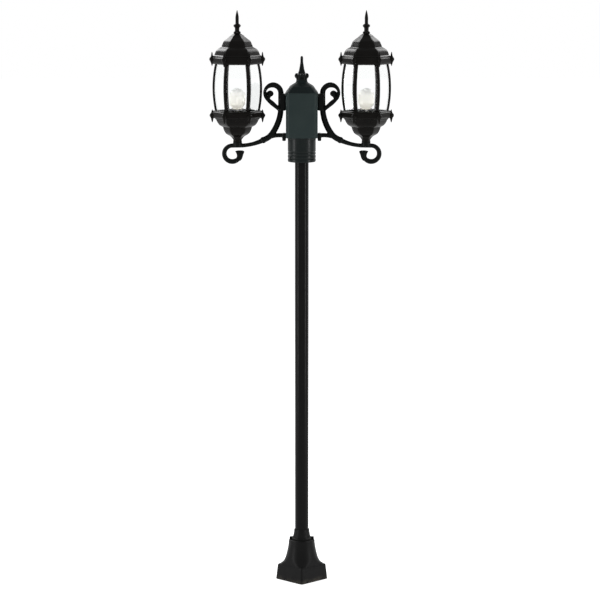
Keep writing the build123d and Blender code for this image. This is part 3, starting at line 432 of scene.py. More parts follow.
# The pole, a drawn steel tube in one length, painted like the castings but smoother.
# It slips over the stub, and two zinc plated bolts hold it there.
pole_paint = painted(
    "pole black", (0.0042, 0.0042, 0.0042), (0.0065, 0.0065, 0.0065),
    roughness=0.2, chalky=0.35, dust_height=0.02, skin_depth=0.03, specular=0.06,
)
finish_node("pole", pole_paint)

worn_metal, metal_in, metal_out = finish_group(
    "worn metal",
    (
        ("Metal", (0.6, 0.6, 0.6, 1.0)),
        ("Tarnish", (0.3, 0.3, 0.3, 1.0)),
        ("Tarnished", 0.5),
        ("Gloss Roughness", 0.35),
        ("Grain Size", 900.0),
    ),
)
metal_nodes = worn_metal.nodes
at = metal_in.outputs["Vector"]
clouds = span(metal_nodes, noise(metal_nodes, at, 90.0, 4.0, 0.6), 0.38, 0.7)
clouds = math_sum(metal_nodes, "MULTIPLY", clouds, metal_in.outputs["Tarnished"])
link(
    metal_nodes,
    mixed(metal_nodes, clouds, metal_in.outputs["Metal"], metal_in.outputs["Tarnish"]),
    metal_out.inputs["Color"],
)
link(
    metal_nodes,
    math_sum(metal_nodes, "MULTIPLY_ADD", clouds, 0.25, metal_in.outputs["Gloss Roughness"]),
    metal_out.inputs["Roughness"],
)
grain = metal_nodes.new("ShaderNodeTexNoise")
link(metal_nodes, at, grain.inputs["Vector"])
link(metal_nodes, metal_in.outputs["Grain Size"], grain.inputs["Scale"])
grain_bump = metal_nodes.new("ShaderNodeBump")
grain_bump.inputs["Strength"].default_value = 0.12
grain_bump.inputs["Distance"].default_value = 0.0003
link(metal_nodes, grain.outputs["Fac"], grain_bump.inputs["Height"])
link(metal_nodes, grain_bump.outputs["Normal"], metal_out.inputs["Normal"])


def metal(name, colour, tarnish, tarnished, roughness, metallic=1.0):
    """A bare or plated metal finish from the worn metal group."""
    values = {
        "Metal": colour,
        "Tarnish": tarnish,
        "Tarnished": tarnished,
        "Gloss Roughness": roughness,
    }
    material, shader = finished(name, worn_metal, values)
    shader.inputs["Metallic"].default_value = metallic
    return material


zinc = metal("zinc plate", (0.6, 0.61, 0.62), (0.36, 0.37, 0.39), 0.7, 0.34)
finish_node("pole_bolts", zinc)

# The screws that stay in sight are blackened steel.
# Two hold the base cover's neck to the pole.
dark_steel = metal("blackened steel", (0.03, 0.03, 0.031), (0.055, 0.05, 0.045), 0.6, 0.4, 0.6)
finish_node("cover_set_screws", dark_steel)

# The feed cable comes up through the plate in its connector and runs up inside the pole.
# Jacket and connector are moulded, with a slight haze on the surface.
moulding, mould_in, mould_out = finish_group(
    "moulded surface",
    (("Body", (0.5, 0.5, 0.5, 1.0)), ("Haze", (0.6, 0.6, 0.6, 1.0)), ("Gloss Roughness", 0.4)),
)
mould_nodes = moulding.nodes
at = mould_in.outputs["Vector"]
haze = span(mould_nodes, noise(mould_nodes, at, 60.0, 4.0, 0.6), 0.4, 0.75)
link(
    mould_nodes,
    mixed(mould_nodes, haze, mould_in.outputs["Body"], mould_in.outputs["Haze"]),
    mould_out.inputs["Color"],
)
link(
    mould_nodes,
    math_sum(mould_nodes, "MULTIPLY_ADD", haze, 0.15, mould_in.outputs["Gloss Roughness"]),
    mould_out.inputs["Roughness"],
)
mould_bump = mould_nodes.new("ShaderNodeBump")
mould_bump.inputs["Strength"].default_value = 0.1
mould_bump.inputs["Distance"].default_value = 0.0002
link(mould_nodes, noise(mould_nodes, at, 700.0), mould_bump.inputs["Height"])
link(mould_nodes, mould_bump.outputs["Normal"], mould_out.inputs["Normal"])


def moulded(name, colour, haze_colour, roughness):
    """A plastic, rubber or ceramic finish from the moulded surface group."""
    values = {"Body": colour, "Haze": haze_colour, "Gloss Roughness": roughness}
    return finished(name, moulding, values)[0]


cable_jacket = moulded("cable jacket", (0.018, 0.018, 0.018), (0.035, 0.034, 0.033), 0.55)
grey_plastic = moulded("grey plastic", (0.2, 0.2, 0.2), (0.25, 0.25, 0.245), 0.5)
finish_node("supply_cable", cable_jacket)
finish_node("feed_connector", grey_plastic)

# The fitter collar, a turned casting with three rings at its foot.
# It slips over the pole, and three screws pinch it there, so the head can be turned.
def new_tree(name, inputs):
    """An empty geometry tree with named inputs, and its two ends."""
    tree = bpy.data.node_groups.new(name, "GeometryNodeTree")
    tree.interface.new_socket("Geometry", in_out="INPUT", socket_type="NodeSocketGeometry")
    for label, kind in inputs:
        tree.interface.new_socket(label, in_out="INPUT", socket_type=kind)
    tree.interface.new_socket("Geometry", in_out="OUTPUT", socket_type="NodeSocketGeometry")
    return tree, tree.nodes.new("NodeGroupInput"), tree.nodes.new("NodeGroupOutput")


def tree_end(tree, start, end, geometry):
    """The last nodes of a tree: smooth shading, plain mesh and material."""
    nodes = tree.nodes
    shade = nodes.new("GeometryNodeSetShadeSmooth")
    shade.inputs["Shade Smooth"].default_value = True
    link(nodes, geometry, shade.inputs["Geometry"])
    real = nodes.new("GeometryNodeRealizeInstances")
    link(nodes, shade.outputs["Geometry"], real.inputs["Geometry"])
    dress = nodes.new("GeometryNodeSetMaterial")
    link(nodes, real.outputs["Geometry"], dress.inputs["Geometry"])
    link(nodes, start.outputs["Material"], dress.inputs["Material"])
    link(nodes, dress.outputs["Geometry"], end.inputs["Geometry"])


def blank_of(mesh):
    """An object that holds a mesh while modifiers work on it."""
    blank = bpy.data.objects.new("blank", mesh)
    scene.collection.objects.link(blank)
    return blank


def plain(blank):
    """The plain mesh that the modifiers of a blank make. The blank goes."""
    bpy.context.view_layer.update()
    evaluated = blank.evaluated_get(bpy.context.evaluated_depsgraph_get())
    result = bpy.data.meshes.new_from_object(evaluated)
    bpy.data.objects.remove(blank)
    return result


def made(mesh, tree, settings):
    """The plain mesh that a tree makes of a mesh with these inputs."""
    blank = blank_of(mesh)
    modifier = blank.modifiers.new("make", "NODES")
    modifier.node_group = tree
    for item in tree.interface.items_tree:
        if item.in_out == "INPUT" and item.name in settings:
            modifier[item.identifier] = settings[item.name]
    return plain(blank)


GENTLE_TURN = 14.0


def eased(points, cut=0.5):
    """The line with each corner that turns by more than a gentle turn cut off and rounded."""
    line = [points[0]]
    for before, corner, after in zip(points, points[1:], points[2:]):
        back = Vector(before[:2]) - Vector(corner[:2])
        on = Vector(after[:2]) - Vector(corner[:2])
        turn = math.pi - back.angle(on, math.pi)
        if turn < math.radians(GENTLE_TURN):
            line.append(corner)
            continue
        middle = Vector(corner[:2])
        start = middle + back.normalized() * min(cut, back.length * 0.4)
        stop = middle + on.normalized() * min(cut, on.length * 0.4)
        for t in (0.0, 0.5, 1.0):
            spot = start.lerp(middle, t).lerp(middle.lerp(stop, t), t)
            line.append((spot.x, spot.y, *corner[2:]))
    line.append(points[-1])
    return line


# The tree that turns an outline into a casting, round or six-sided at each height.
# Its columns crowd towards the corners of the six sides.
turning, turn_in, turn_out = new_tree(
    "turned casting",
    (
        ("Steps per Side", "NodeSocketInt"),
        ("Axis X", "NodeSocketFloat"),
        ("Material", "NodeSocketMaterial"),
    ),
)
turn_nodes = turning.nodes
outline_size = turn_nodes.new("GeometryNodeAttributeDomainSize")
link(turn_nodes, turn_in.outputs["Geometry"], outline_size.inputs["Geometry"])
columns = math_sum(turn_nodes, "MULTIPLY_ADD", turn_in.outputs["Steps per Side"], 6.0, 1.0)
sheet_grid = turn_nodes.new("GeometryNodeMeshGrid")
sheet_grid.inputs["Size X"].default_value = 1.0
sheet_grid.inputs["Size Y"].default_value = 1.0
link(turn_nodes, columns, sheet_grid.inputs["Vertices X"])
link(turn_nodes, outline_size.outputs["Point Count"], sheet_grid.inputs["Vertices Y"])
grid_place = turn_nodes.new("GeometryNodeInputPosition")
grid_xyz = turn_nodes.new("ShaderNodeSeparateXYZ")
link(turn_nodes, grid_place.outputs[0], grid_xyz.inputs[0])
rows = math_sum(turn_nodes, "SUBTRACT", outline_size.outputs["Point Count"], 1.0)
row = math_sum(turn_nodes, "ADD", grid_xyz.outputs["Y"], 0.5)
row = math_sum(turn_nodes, "ROUND", math_sum(turn_nodes, "MULTIPLY", row, rows))
across = math_sum(turn_nodes, "MULTIPLY", math_sum(turn_nodes, "ADD", grid_xyz.outputs["X"], 0.5), 6.0)
side_number = math_sum(turn_nodes, "FLOOR", math_sum(turn_nodes, "ADD", across, 1e-5))
along = math_sum(turn_nodes, "SUBTRACT", math_sum(turn_nodes, "SUBTRACT", across, side_number), 0.5)
near_corner = math_sum(turn_nodes, "MULTIPLY", math_sum(turn_nodes, "ABSOLUTE", along), 2.0)
near_corner = math_sum(turn_nodes, "MAXIMUM", math_sum(turn_nodes, "SUBTRACT", 1.0, near_corner), 0.0)
crowding = 2.2
crowd = math_sum(turn_nodes, "SUBTRACT", 1.0, math_sum(turn_nodes, "POWER", near_corner, crowding))
half_side = math_sum(turn_nodes, "MULTIPLY", math_sum(turn_nodes, "SIGN", along), 0.5)
crowd = math_sum(turn_nodes, "MULTIPLY", crowd, half_side)
turned_by = math_sum(turn_nodes, "ADD", math_sum(turn_nodes, "ADD", side_number, 0.5), crowd)
turned_by = math_sum(turn_nodes, "MULTIPLY", turned_by, math.radians(60.0))
profile_place = turn_nodes.new("GeometryNodeInputPosition")
profile_spot = turn_nodes.new("GeometryNodeSampleIndex")
profile_spot.data_type = "FLOAT_VECTOR"
link(turn_nodes, turn_in.outputs["Geometry"], profile_spot.inputs["Geometry"])
link(turn_nodes, profile_place.outputs[0], profile_spot.inputs["Value"])
link(turn_nodes, row, profile_spot.inputs["Index"])
profile_xyz = turn_nodes.new("ShaderNodeSeparateXYZ")
link(turn_nodes, profile_spot.outputs["Value"], profile_xyz.inputs[0])
sharpness = math_sum(turn_nodes, "MAXIMUM", profile_xyz.outputs["Y"], 2.0)
total = None
for normal_angle in (30.0, 90.0, 150.0):
    lean = math_sum(turn_nodes, "SUBTRACT", turned_by, math.radians(normal_angle))
    share = math_sum(turn_nodes, "ABSOLUTE", math_sum(turn_nodes, "COSINE", lean))
    share = math_sum(turn_nodes, "POWER", share, sharpness)
    total = share if total is None else math_sum(turn_nodes, "ADD", total, share)
at_corner = math_sum(turn_nodes, "POWER", math.cos(math.radians(30.0)), sharpness)
total = math_sum(turn_nodes, "DIVIDE", total, math_sum(turn_nodes, "MULTIPLY", at_corner, 2.0))
swell = math_sum(turn_nodes, "POWER", total, math_sum(turn_nodes, "DIVIDE", -1.0, sharpness))
distance = math_sum(turn_nodes, "MULTIPLY", profile_xyz.outputs["X"], swell)
turned_place = turn_nodes.new("ShaderNodeCombineXYZ")
offset_x = math_sum(turn_nodes, "MULTIPLY", distance, math_sum(turn_nodes, "COSINE", turned_by))
link(turn_nodes, math_sum(turn_nodes, "ADD", offset_x, turn_in.outputs["Axis X"]), turned_place.inputs["X"])
link(
    turn_nodes,
    math_sum(turn_nodes, "MULTIPLY", distance, math_sum(turn_nodes, "SINE", turned_by)),
    turned_place.inputs["Y"],
)
link(turn_nodes, profile_xyz.outputs["Z"], turned_place.inputs["Z"])
shaped = turn_nodes.new("GeometryNodeSetPosition")
link(turn_nodes, sheet_grid.outputs["Mesh"], shaped.inputs["Geometry"])
link(turn_nodes, turned_place.outputs[0], shaped.inputs["Position"])
welded = turn_nodes.new("GeometryNodeMergeByDistance")
welded.inputs["Distance"].default_value = 1e-6
link(turn_nodes, shaped.outputs["Geometry"], welded.inputs["Geometry"])
tree_end(turning, turn_in, turn_out, welded.outputs["Geometry"])

ROUND = 2.0


def turned(outline, material, axis_x=0.0, foot=0.0, steps=6):
    """A casting turned from (radius, height, sharpness) points in millimetres above its foot."""
    mesh = bpy.data.meshes.new("outline")
    mesh.from_pydata([(r * MM, sharp, foot + z * MM) for r, z, sharp in outline], [], [])
    return facing_out(
        made(mesh, turning, {"Steps per Side": steps, "Axis X": axis_x, "Material": material})
    )


def of_kind(points, sharp):
    """Gives every (radius, height) point one sharpness."""
    return [(r, z, sharp) for r, z in points]


collar_paint = painted(
    "collar black", (0.0024, 0.0050, 0.0048), (0.0045, 0.0075, 0.0072),
    roughness=0.3, chalky=0.5, dust_height=0.01, skin_depth=0.05, specular=0.13,
)
collar_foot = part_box("fitter_collar")[0][2]
collar_outline = of_kind(
    eased(
        [(26.0, 0.0), (50.2, 0.0)]
        + [(50.5, 0.6), (51.6, 3.0), (52.0, 6.5), (51.6, 10.0), (50.5, 12.4), (50.2, 13.0)]
        + [(50.5, 13.6), (51.6, 16.0), (52.0, 19.5), (51.6, 23.0), (50.5, 25.4), (50.2, 26.0)]
        + [(50.5, 26.6), (51.6, 29.0), (52.0, 31.5), (51.6, 34.0), (50.5, 36.4), (50.2, 37.0)]
        + [(51.0, 38.6), (51.8, 40.0), (51.8, 84.0), (52.8, 86.0), (52.8, 90.0), (26.0, 90.0), (26.0, 0.0)],
        0.35,
    ),
    ROUND,
)
collar = turned(collar_outline, collar_paint, 0.0, collar_foot, 12)
piece("fitter_collar_casting", [collar], "head", ("fitter_collar",))
finish_node("collar_screws", dark_steel)

# The hub's housing, a square casting with cut corners, bevelled a little as cast edges are.
# It is screwed to the collar, and holds the moulded block where the feed meets the two leads.
def eight_sided(half_width, cut, z):
    """Corners of a square with its corners cut, in millimetres."""
    inner = half_width - cut
    return [
        (x * MM, y * MM, z)
        for x, y in (
            (half_width, -inner),
            (half_width, inner),
            (inner, half_width),
            (-inner, half_width),
            (-half_width, inner),
            (-half_width, -inner),
            (-inner, -half_width),
            (inner, -half_width),
        )
    ]


def bevelled(mesh, width, segments=3, angle=25.0):
    """The mesh with its sharp edges rounded."""
    blank = blank_of(mesh)
    bevel = blank.modifiers.new("bevel", "BEVEL")
    bevel.width = width
    bevel.segments = segments
    bevel.angle_limit = math.radians(angle)
    bevel.harden_normals = False
    return plain(blank)


# The housing's paint is a lighter green-black than the other castings': partly its own tone, and partly
# painted light falling on its face.
hub_paint_lit = painted(
    "hub black lit", (0.0195, 0.0290, 0.0285), (0.0240, 0.0340, 0.0330),
    roughness=0.34, chalky=0.6, dust_height=0.01, skin_depth=0.15, specular=0.08,
)
HOUSING_HALF_WIDTH = 58.5
HOUSING_CHAMFER = 10.7
housing_low, housing_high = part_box("hub_housing")
housing_sections = [
    eight_sided(HOUSING_HALF_WIDTH, HOUSING_CHAMFER, z) for z in (housing_low[2], housing_high[2])
]
housing = bevelled(stacked("housing", housing_sections, hub_paint_lit), 0.0012)
piece("hub_housing_casting", [housing], "head", ("hub_housing",))
white_plastic = moulded("white plastic", (0.82, 0.81, 0.78), (0.72, 0.71, 0.67), 0.28)
finish_node("terminal_block", white_plastic)
finish_node("housing_screws", zinc)

# The hub's cap, a casting that sweeps from the square housing to a narrow neck.
# Four blackened screws in its skirt hold it down.
def flowing(points, steps=5):
    """A smooth line through (radius, height) points in millimetres."""
    line = []
    padded = [points[0], *points, points[-1]]
    for before, first, second, after in zip(padded, padded[1:], padded[2:], padded[3:]):
        for step in range(steps):
            t = step / steps
            spot = []
            for a, b, c, d in zip(before, first, second, after):
                bend = (2 * a - 5 * b + 4 * c - d) * t**2 + (3 * b - a - 3 * c + d) * t**3
                spot.append(0.5 * (2 * b + (c - a) * t + bend))
            line.append(tuple(spot))
    line.append(points[-1])
    return line


# The cap's paint is lighter than the finial's as painted light: one value set between the lit look of its
# foot and the shaded look of its top.
cap_paint_half_lit = painted(
    "cap black half lit", (0.0075, 0.0115, 0.0118), (0.0105, 0.0155, 0.0160),
    roughness=0.36, chalky=0.5, dust_height=0.01, skin_depth=0.15, specular=0.05,
)
cap_curve = flowing(
    [(58.5, 0.4), (57.5, 1.5), (53.5, 7.0), (49.3, 12.7), (46.5, 17.5), (43.0, 22.0)]
    + [(37.0, 26.5), (29.8, 31.0), (24.0, 35.0), (20.8, 39.5), (20.0, 45.0)],
    4,
)
cap_height = cap_curve[-1][1]
cap_sections = []
for half_width, z in cap_curve:
    cut = half_width * (0.18 + 0.22 * (z / cap_height) ** 2)
    cap_sections.append(eight_sided(half_width, cut, housing_high[2] + z * MM))
cap = bevelled(stacked("cap", cap_sections, cap_paint_half_lit), 0.0006, 2, 30.0)
piece("hub_cap_casting", [cap], "head", ("hub_cap",))
finish_node("cap_screws", dark_steel)

# The hub's finial, a long rounded spike that stands in an urn with four lobes.
# It is one turned casting with the lobes cast on, screwed down into the cap.
casting_paint = painted(
    "casting black", (0.0032, 0.0040, 0.0038), (0.0060, 0.0070, 0.0066),
    roughness=0.3, chalky=0.5, dust_height=0.01, skin_depth=0.12, specular=0.055,
)
urn_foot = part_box("hub_cap")[1][2]
urn_line = flowing(
    [(20.2, 0.0), (20.6, 3.0), (20.8, 6.0), (21.0, 10.0)]
    + [(21.0, 14.0), (20.0, 18.0), (17.6, 21.0), (15.2, 23.5)],
    4,
)
spike_line = flowing(
    [(13.6, 25.5), (12.8, 28.0), (11.2, 32.5), (10.0, 37.0), (9.0, 41.5), (7.9, 48.0)]
    + [(6.8, 55.0), (5.8, 61.0), (5.2, 66.0), (5.1, 72.0), (5.0, 79.0)],
    4,
)
spike_tip = flowing([(4.9, 82.0), (4.2, 85.2), (2.6, 87.4), (0.0, 88.0)], 3)
spike_outline = of_kind([(0.0, -1.0), (20.2, -1.0)] + urn_line + spike_line + spike_tip, ROUND)
spike = turned(spike_outline, casting_paint, 0.0, urn_foot, 6)

ringing, ring_in, ring_out = new_tree(
    "ring of castings",
    (
        ("Count", "NodeSocketInt"),
        ("First Angle", "NodeSocketFloat"),
        ("Axis X", "NodeSocketFloat"),
        ("Material", "NodeSocketMaterial"),
    ),
)
ring_nodes = ringing.nodes
ring_points = ring_nodes.new("GeometryNodeMeshLine")
ring_points.inputs["Offset"].default_value = (0.0, 0.0, 0.0)
link(ring_nodes, ring_in.outputs["Count"], ring_points.inputs["Count"])
ring_number = ring_nodes.new("GeometryNodeInputIndex")
ring_step = math_sum(ring_nodes, "DIVIDE", math.radians(360.0), ring_in.outputs["Count"])
ring_angle = math_sum(ring_nodes, "MULTIPLY", ring_number.outputs[0], ring_step)
ring_angle = math_sum(ring_nodes, "ADD", ring_angle, ring_in.outputs["First Angle"])
ring_turn = ring_nodes.new("ShaderNodeCombineXYZ")
link(ring_nodes, ring_angle, ring_turn.inputs["Z"])
ring_copies = ring_nodes.new("GeometryNodeInstanceOnPoints")
link(ring_nodes, ring_points.outputs["Mesh"], ring_copies.inputs["Points"])
link(ring_nodes, ring_in.outputs["Geometry"], ring_copies.inputs["Instance"])
link(ring_nodes, ring_turn.outputs[0], ring_copies.inputs["Rotation"])
ring_shift = ring_nodes.new("ShaderNodeCombineXYZ")
link(ring_nodes, ring_in.outputs["Axis X"], ring_shift.inputs["X"])
ring_moved = ring_nodes.new("GeometryNodeTransform")
link(ring_nodes, ring_copies.outputs["Instances"], ring_moved.inputs["Geometry"])
link(ring_nodes, ring_shift.outputs[0], ring_moved.inputs["Translation"])
tree_end(ringing, ring_in, ring_out, ring_moved.outputs["Geometry"])


def ring_of(mesh, material, count, first_angle=0.0, axis_x=0.0):
    """Copies of a casting, modelled on the +X side of the origin, round an upright axis."""
    settings = {
        "Count": count,
        "First Angle": math.radians(first_angle),
        "Axis X": axis_x,
        "Material": material,
    }
    return facing_out(made(mesh, ringing, settings))


def egg(centre, radii, lean=0.0, rings=10, segments=14):
    """A closed egg round a centre, in millimetres, leaning outwards by some degrees."""
    solid = bmesh.new()
    bmesh.ops.create_uvsphere(solid, u_segments=segments, v_segments=rings, radius=1.0)
    place = Matrix.Translation([c * MM for c in centre])
    place = place @ Matrix.Rotation(math.radians(lean), 4, "Y")
    place = place @ Matrix.Diagonal([r * MM for r in radii]).to_4x4()
    solid.transform(place)
    mesh = bpy.data.meshes.new("egg")
    solid.to_mesh(mesh)
    solid.free()
    return mesh


def raised(mesh, z):
    """The mesh lifted by z metres."""
    mesh.transform(Matrix.Translation((0.0, 0.0, z)))
    return mesh


lobe = raised(egg((18.5, 0.0, 15.5), (8.0, 8.0, 9.8)), urn_foot)
lobes = ring_of(lobe, casting_paint, 4)
piece("hub_finial_casting", [spike, lobes], "head", ("hub_finial",))

# The two scroll arms, iron castings bolted to the hub by two pads each.
# Stem, strut and arm meet in a knuckle, a ring with a curl stands on the stem, and the end is a leaf.
barring, bar_in, bar_out = new_tree(
    "bar along a line",
    (("Sides", "NodeSocketInt"), ("Material", "NodeSocketMaterial")),
)
bar_nodes = barring.nodes
bar_line = bar_nodes.new("GeometryNodeMeshToCurve")
link(bar_nodes, bar_in.outputs["Geometry"], bar_line.inputs["Mesh"])
bar_round = bar_nodes.new("GeometryNodeCurvePrimitiveCircle")
bar_round.inputs["Radius"].default_value = 1.0
link(bar_nodes, bar_in.outputs["Sides"], bar_round.inputs["Resolution"])
bar_thick = bar_nodes.new("GeometryNodeInputNamedAttribute")
bar_thick.inputs["Name"].default_value = "thick"
bar_skin = bar_nodes.new("GeometryNodeCurveToMesh")
bar_skin.inputs["Fill Caps"].default_value = True
link(bar_nodes, bar_line.outputs["Curve"], bar_skin.inputs["Curve"])
link(bar_nodes, bar_round.outputs["Curve"], bar_skin.inputs["Profile Curve"])
link(bar_nodes, bar_thick.outputs["Attribute"], bar_skin.inputs["Scale"])
tree_end(barring, bar_in, bar_out, bar_skin.outputs["Mesh"])


def walk(start, heading, legs, pace=3.0):
    """Points of a path in the arm's plane: legs are (length,) or (radius, turn in degrees)."""
    x, z = start
    angle = math.radians(heading)
    points = [(x, z)]
    for leg in legs:
        if len(leg) == 1:
            steps = max(1, round(leg[0] / pace))
            for _ in range(steps):
                x += math.cos(angle) * leg[0] / steps
                z += math.sin(angle) * leg[0] / steps
                points.append((x, z))
        else:
            radius, turn = leg[0], math.radians(leg[1])
            steps = max(2, round(abs(turn) * radius / pace))
            chord = 2 * radius * math.sin(abs(turn) / steps / 2)
            for _ in range(steps):
                angle += turn / steps / 2
                x += math.cos(angle) * chord
                z += math.sin(angle) * chord
                angle += turn / steps / 2
                points.append((x, z))
    return points


def bar(points, thicknesses, side, material, sides=20):
    """A round bar along the path, its radius blended through the thicknesses in millimetres."""
    mesh = bpy.data.meshes.new("line")
    steps = [(i, i + 1) for i in range(len(points) - 1)]
    mesh.from_pydata([(side * x * MM, 0.0, z * MM) for x, z in points], steps, [])
    thick = mesh.attributes.new("thick", "FLOAT", "POINT")
    last = len(thicknesses) - 1
    for i, value in enumerate(thick.data):
        place = i / (len(points) - 1) * last
        low = min(int(place), last - 1)
        share = place - low
        value.value = (thicknesses[low] * (1 - share) + thicknesses[low + 1] * share) * MM
    return facing_out(made(mesh, barring, {"Sides": sides, "Material": material}))


def block(low, high, round_off):
    """A bevelled block between two corners, in millimetres."""
    solid = bmesh.new()
    bmesh.ops.create_cube(solid, size=1.0)
    size = [(b - a) * MM for a, b in zip(low, high)]
    middle = [(a + b) / 2 * MM for a, b in zip(low, high)]
    solid.transform(Matrix.Translation(middle) @ Matrix.Diagonal(size).to_4x4())
    mesh = bpy.data.meshes.new("block")
    solid.to_mesh(mesh)
    solid.free()
    return bevelled(mesh, round_off * MM, 4)


def cast_together(name, meshes, grain, smoothing, material):
    """Melts closed meshes into one skin with soft inner corners, as a casting has."""
    blank = blank_of(joined(name, meshes))
    melt = blank.modifiers.new("melt", "REMESH")
    melt.mode = "VOXEL"
    melt.voxel_size = grain * MM
    soften = blank.modifiers.new("soften", "SMOOTH")
    soften.factor = 0.5
    soften.iterations = smoothing
    result = plain(blank)
    result.materials.clear()
    result.materials.append(material)
    return result


LANTERN_X = 237.0
SEAT_FOOT = 1639.25
KNUCKLE = (142.3, 1659.5)  # distance from the pole's axis, height
PADS = ((58.4, 81.0, 1769.0, 1831.0), (58.4, 72.0, 1657.0, 1686.0))  # inner, outer, foot, top
LEAF = (  # height, inner edge, outer edge, half thickness
    (1583.0, 226.0, 239.0, 6.0),
    (1588.6, 221.5, 240.5, 7.5),
    (1594.8, 218.5, 240.5, 8.2),
    (1599.8, 217.3, 239.8, 8.4),
    (1604.7, 215.9, 239.9, 8.6),
    (1609.7, 213.9, 241.4, 8.8),
    (1614.0, 212.2, 243.6, 8.8),
    (1617.7, 211.4, 246.4, 8.2),
    (1619.6, 213.0, 245.0, 7.2),
    (1621.6, 219.0, 236.0, 4.5),
)


def leaf(side):
    """The upturned leaf that ends the scroll."""
    rings = []
    for z, inner, outer, thick in LEAF:
        middle = (inner + outer) / 2
        wide = (outer - inner) / 2
        ring = []
        for k in range(24):
            angle = math.radians(15 * k)
            pinch = 1.0 - 0.16 * math.cos(3 * angle) ** 2
            x = side * (middle + wide * math.cos(angle))
            ring.append((x * MM, thick * pinch * math.sin(angle) * MM, z * MM))
        rings.append(ring if side > 0 else list(reversed(ring)))
    return stacked("leaf", rings, casting_paint)


RING_THICK = (10.2, 10.2, 10.2, 10.2, 10.0, 8.8, 7.2, 6.0, 5.6, 5.8, 6.7, 8.2, 9.0, 8.2, 7.4, 7.0)
ARM_THICK = (9.6, 8.6, 7.7, 7.5, 7.7, 7.9, 8.0, 8.4, 8.7, 9.0, 9.3, 9.4, 8.6)
for side, word in ((-1, "left"), (1, "right")):
    stem_line = walk(KNUCKLE, 154.0, [(12.0,), (60.0, -28.0), (170.0, -36.0), (49.6,)])
    ring_line = walk(stem_line[-1], 90.0, [(29.85, -229.0), (58.0,)], 2.0)
    arm_line = walk(KNUCKLE, -26.0, [(200.0, 26.0), (26.5,), (29.5, -232.0)])
    strut_line = walk(KNUCKLE, 154.0, [(18.0,), (100.0, 26.0), (20.0,)])
    curl_line = walk((130.0, 1813.0), 168.0, [(13.0, -90.0), (7.0,)], 1.5)
    meshes = [
        bar(stem_line, (10.9, 11.2, 11.2, 11.0, 10.6, 10.4, 10.2), side, casting_paint),
        bar(ring_line, RING_THICK, side, casting_paint),
        bar(arm_line, ARM_THICK, side, casting_paint),
        bar(strut_line, (7.9, 7.9, 8.1, 8.3), side, casting_paint),
        bar(curl_line, (6.4, 7.2, 7.4, 7.4), side, casting_paint, 14),
        egg((side * 116.6, 0.0, 1831.0), (13.2, 11.4, 11.8), rings=16, segments=24),
        egg((side * KNUCKLE[0], 0.0, KNUCKLE[1]), (10.5, 12.3, 12.5), side * 28.0, 16, 24),
        leaf(side),
    ]
    for inner, outer, low, high in PADS:
        corners = sorted((side * inner, side * outer))
        meshes.append(block((corners[0], -19.0, low), (corners[1], 19.0, high), 4.0))
    seat_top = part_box(f"{word}_bowl")[0][2] / MM - SEAT_FOOT
    seat_line = [(0.0, -6.0), (16.3, -6.0), (16.7, 0.0), (16.7, seat_top - 1.9)]
    seat_line += [(15.9, seat_top), (0.0, seat_top)]
    seat_outline = of_kind(eased(seat_line, 0.6), ROUND)
    meshes.append(turned(seat_outline, casting_paint, side * LANTERN_X * MM, SEAT_FOOT * MM))
    casting = cast_together(f"{word}_arm", meshes, 1.1, 5, casting_paint)
    piece(f"{word}_arm_casting", [casting], "head", (f"{word}_arm",))
    finish_node(f"{word}_arm_bolts", zinc)
    finish_node(f"{word}_lead", cable_jacket)

# The lantern bowls, six-sided castings in two steps that narrow to a round neck.
# Each stands on its arm's seat, held by a brass nipple and locknut that the lead comes up through.
SIX_SIDED = 60.0
LANTERNS = (("left", -LANTERN_X * MM), ("right", LANTERN_X * MM))
lantern_paint = painted(
    "lantern black", (0.0032, 0.0027, 0.0022), (0.0056, 0.0050, 0.0043),
    roughness=0.26, chalky=0.5, dust_height=0.01, skin_depth=0.05, specular=0.06,
)
brass = metal("brass", (0.7, 0.55, 0.28), (0.42, 0.31, 0.16), 0.6, 0.3)
BOWL = (
    of_kind([(0.0, 0.0), (16.2, 0.0), (16.7, 0.8), (16.4, 1.8), (15.8, 3.4)], ROUND)
    + [(15.5, 5.6, 3.0), (16.0, 8.0, 6.0), (17.4, 10.4, 14.0), (19.8, 13.4, 40.0)]
    + of_kind(
        flowing(
            [(20.0, 13.6), (23.2, 17.6), (28.6, 21.8), (35.4, 25.4), (41.0, 29.2)]
            + [(45.0, 33.4), (48.2, 38.8), (51.2, 46.0), (53.4, 53.0)],
            3,
        ),
        SIX_SIDED,
    )
    + of_kind(
        [(53.6, 54.4), (54.6, 55.2), (57.6, 56.2), (58.4, 57.0)]
        + flowing([(59.4, 57.6), (64.6, 60.4), (69.4, 65.0), (73.8, 71.6), (76.6, 77.2), (78.0, 80.4)], 3)
        + [(78.4, 81.6), (80.4, 82.6), (81.8, 83.8), (82.0, 85.0), (82.0, 87.4)]
        + [(70.0, 87.4), (70.0, 84.0), (73.5, 80.0), (68.0, 68.0), (55.0, 60.0)]
        + [(46.0, 44.0), (36.0, 30.0), (24.0, 26.0), (0.0, 26.0)],
        SIX_SIDED,
    )
)
for word, axis_x in LANTERNS:
    bowl = turned(BOWL, lantern_paint, axis_x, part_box(f"{word}_bowl")[0][2])
    piece(f"{word}_bowl_casting", [bowl], "head", (f"{word}_bowl",))
    finish_node(f"{word}_nipple", brass)
    finish_node(f"{word}_locknut", brass)

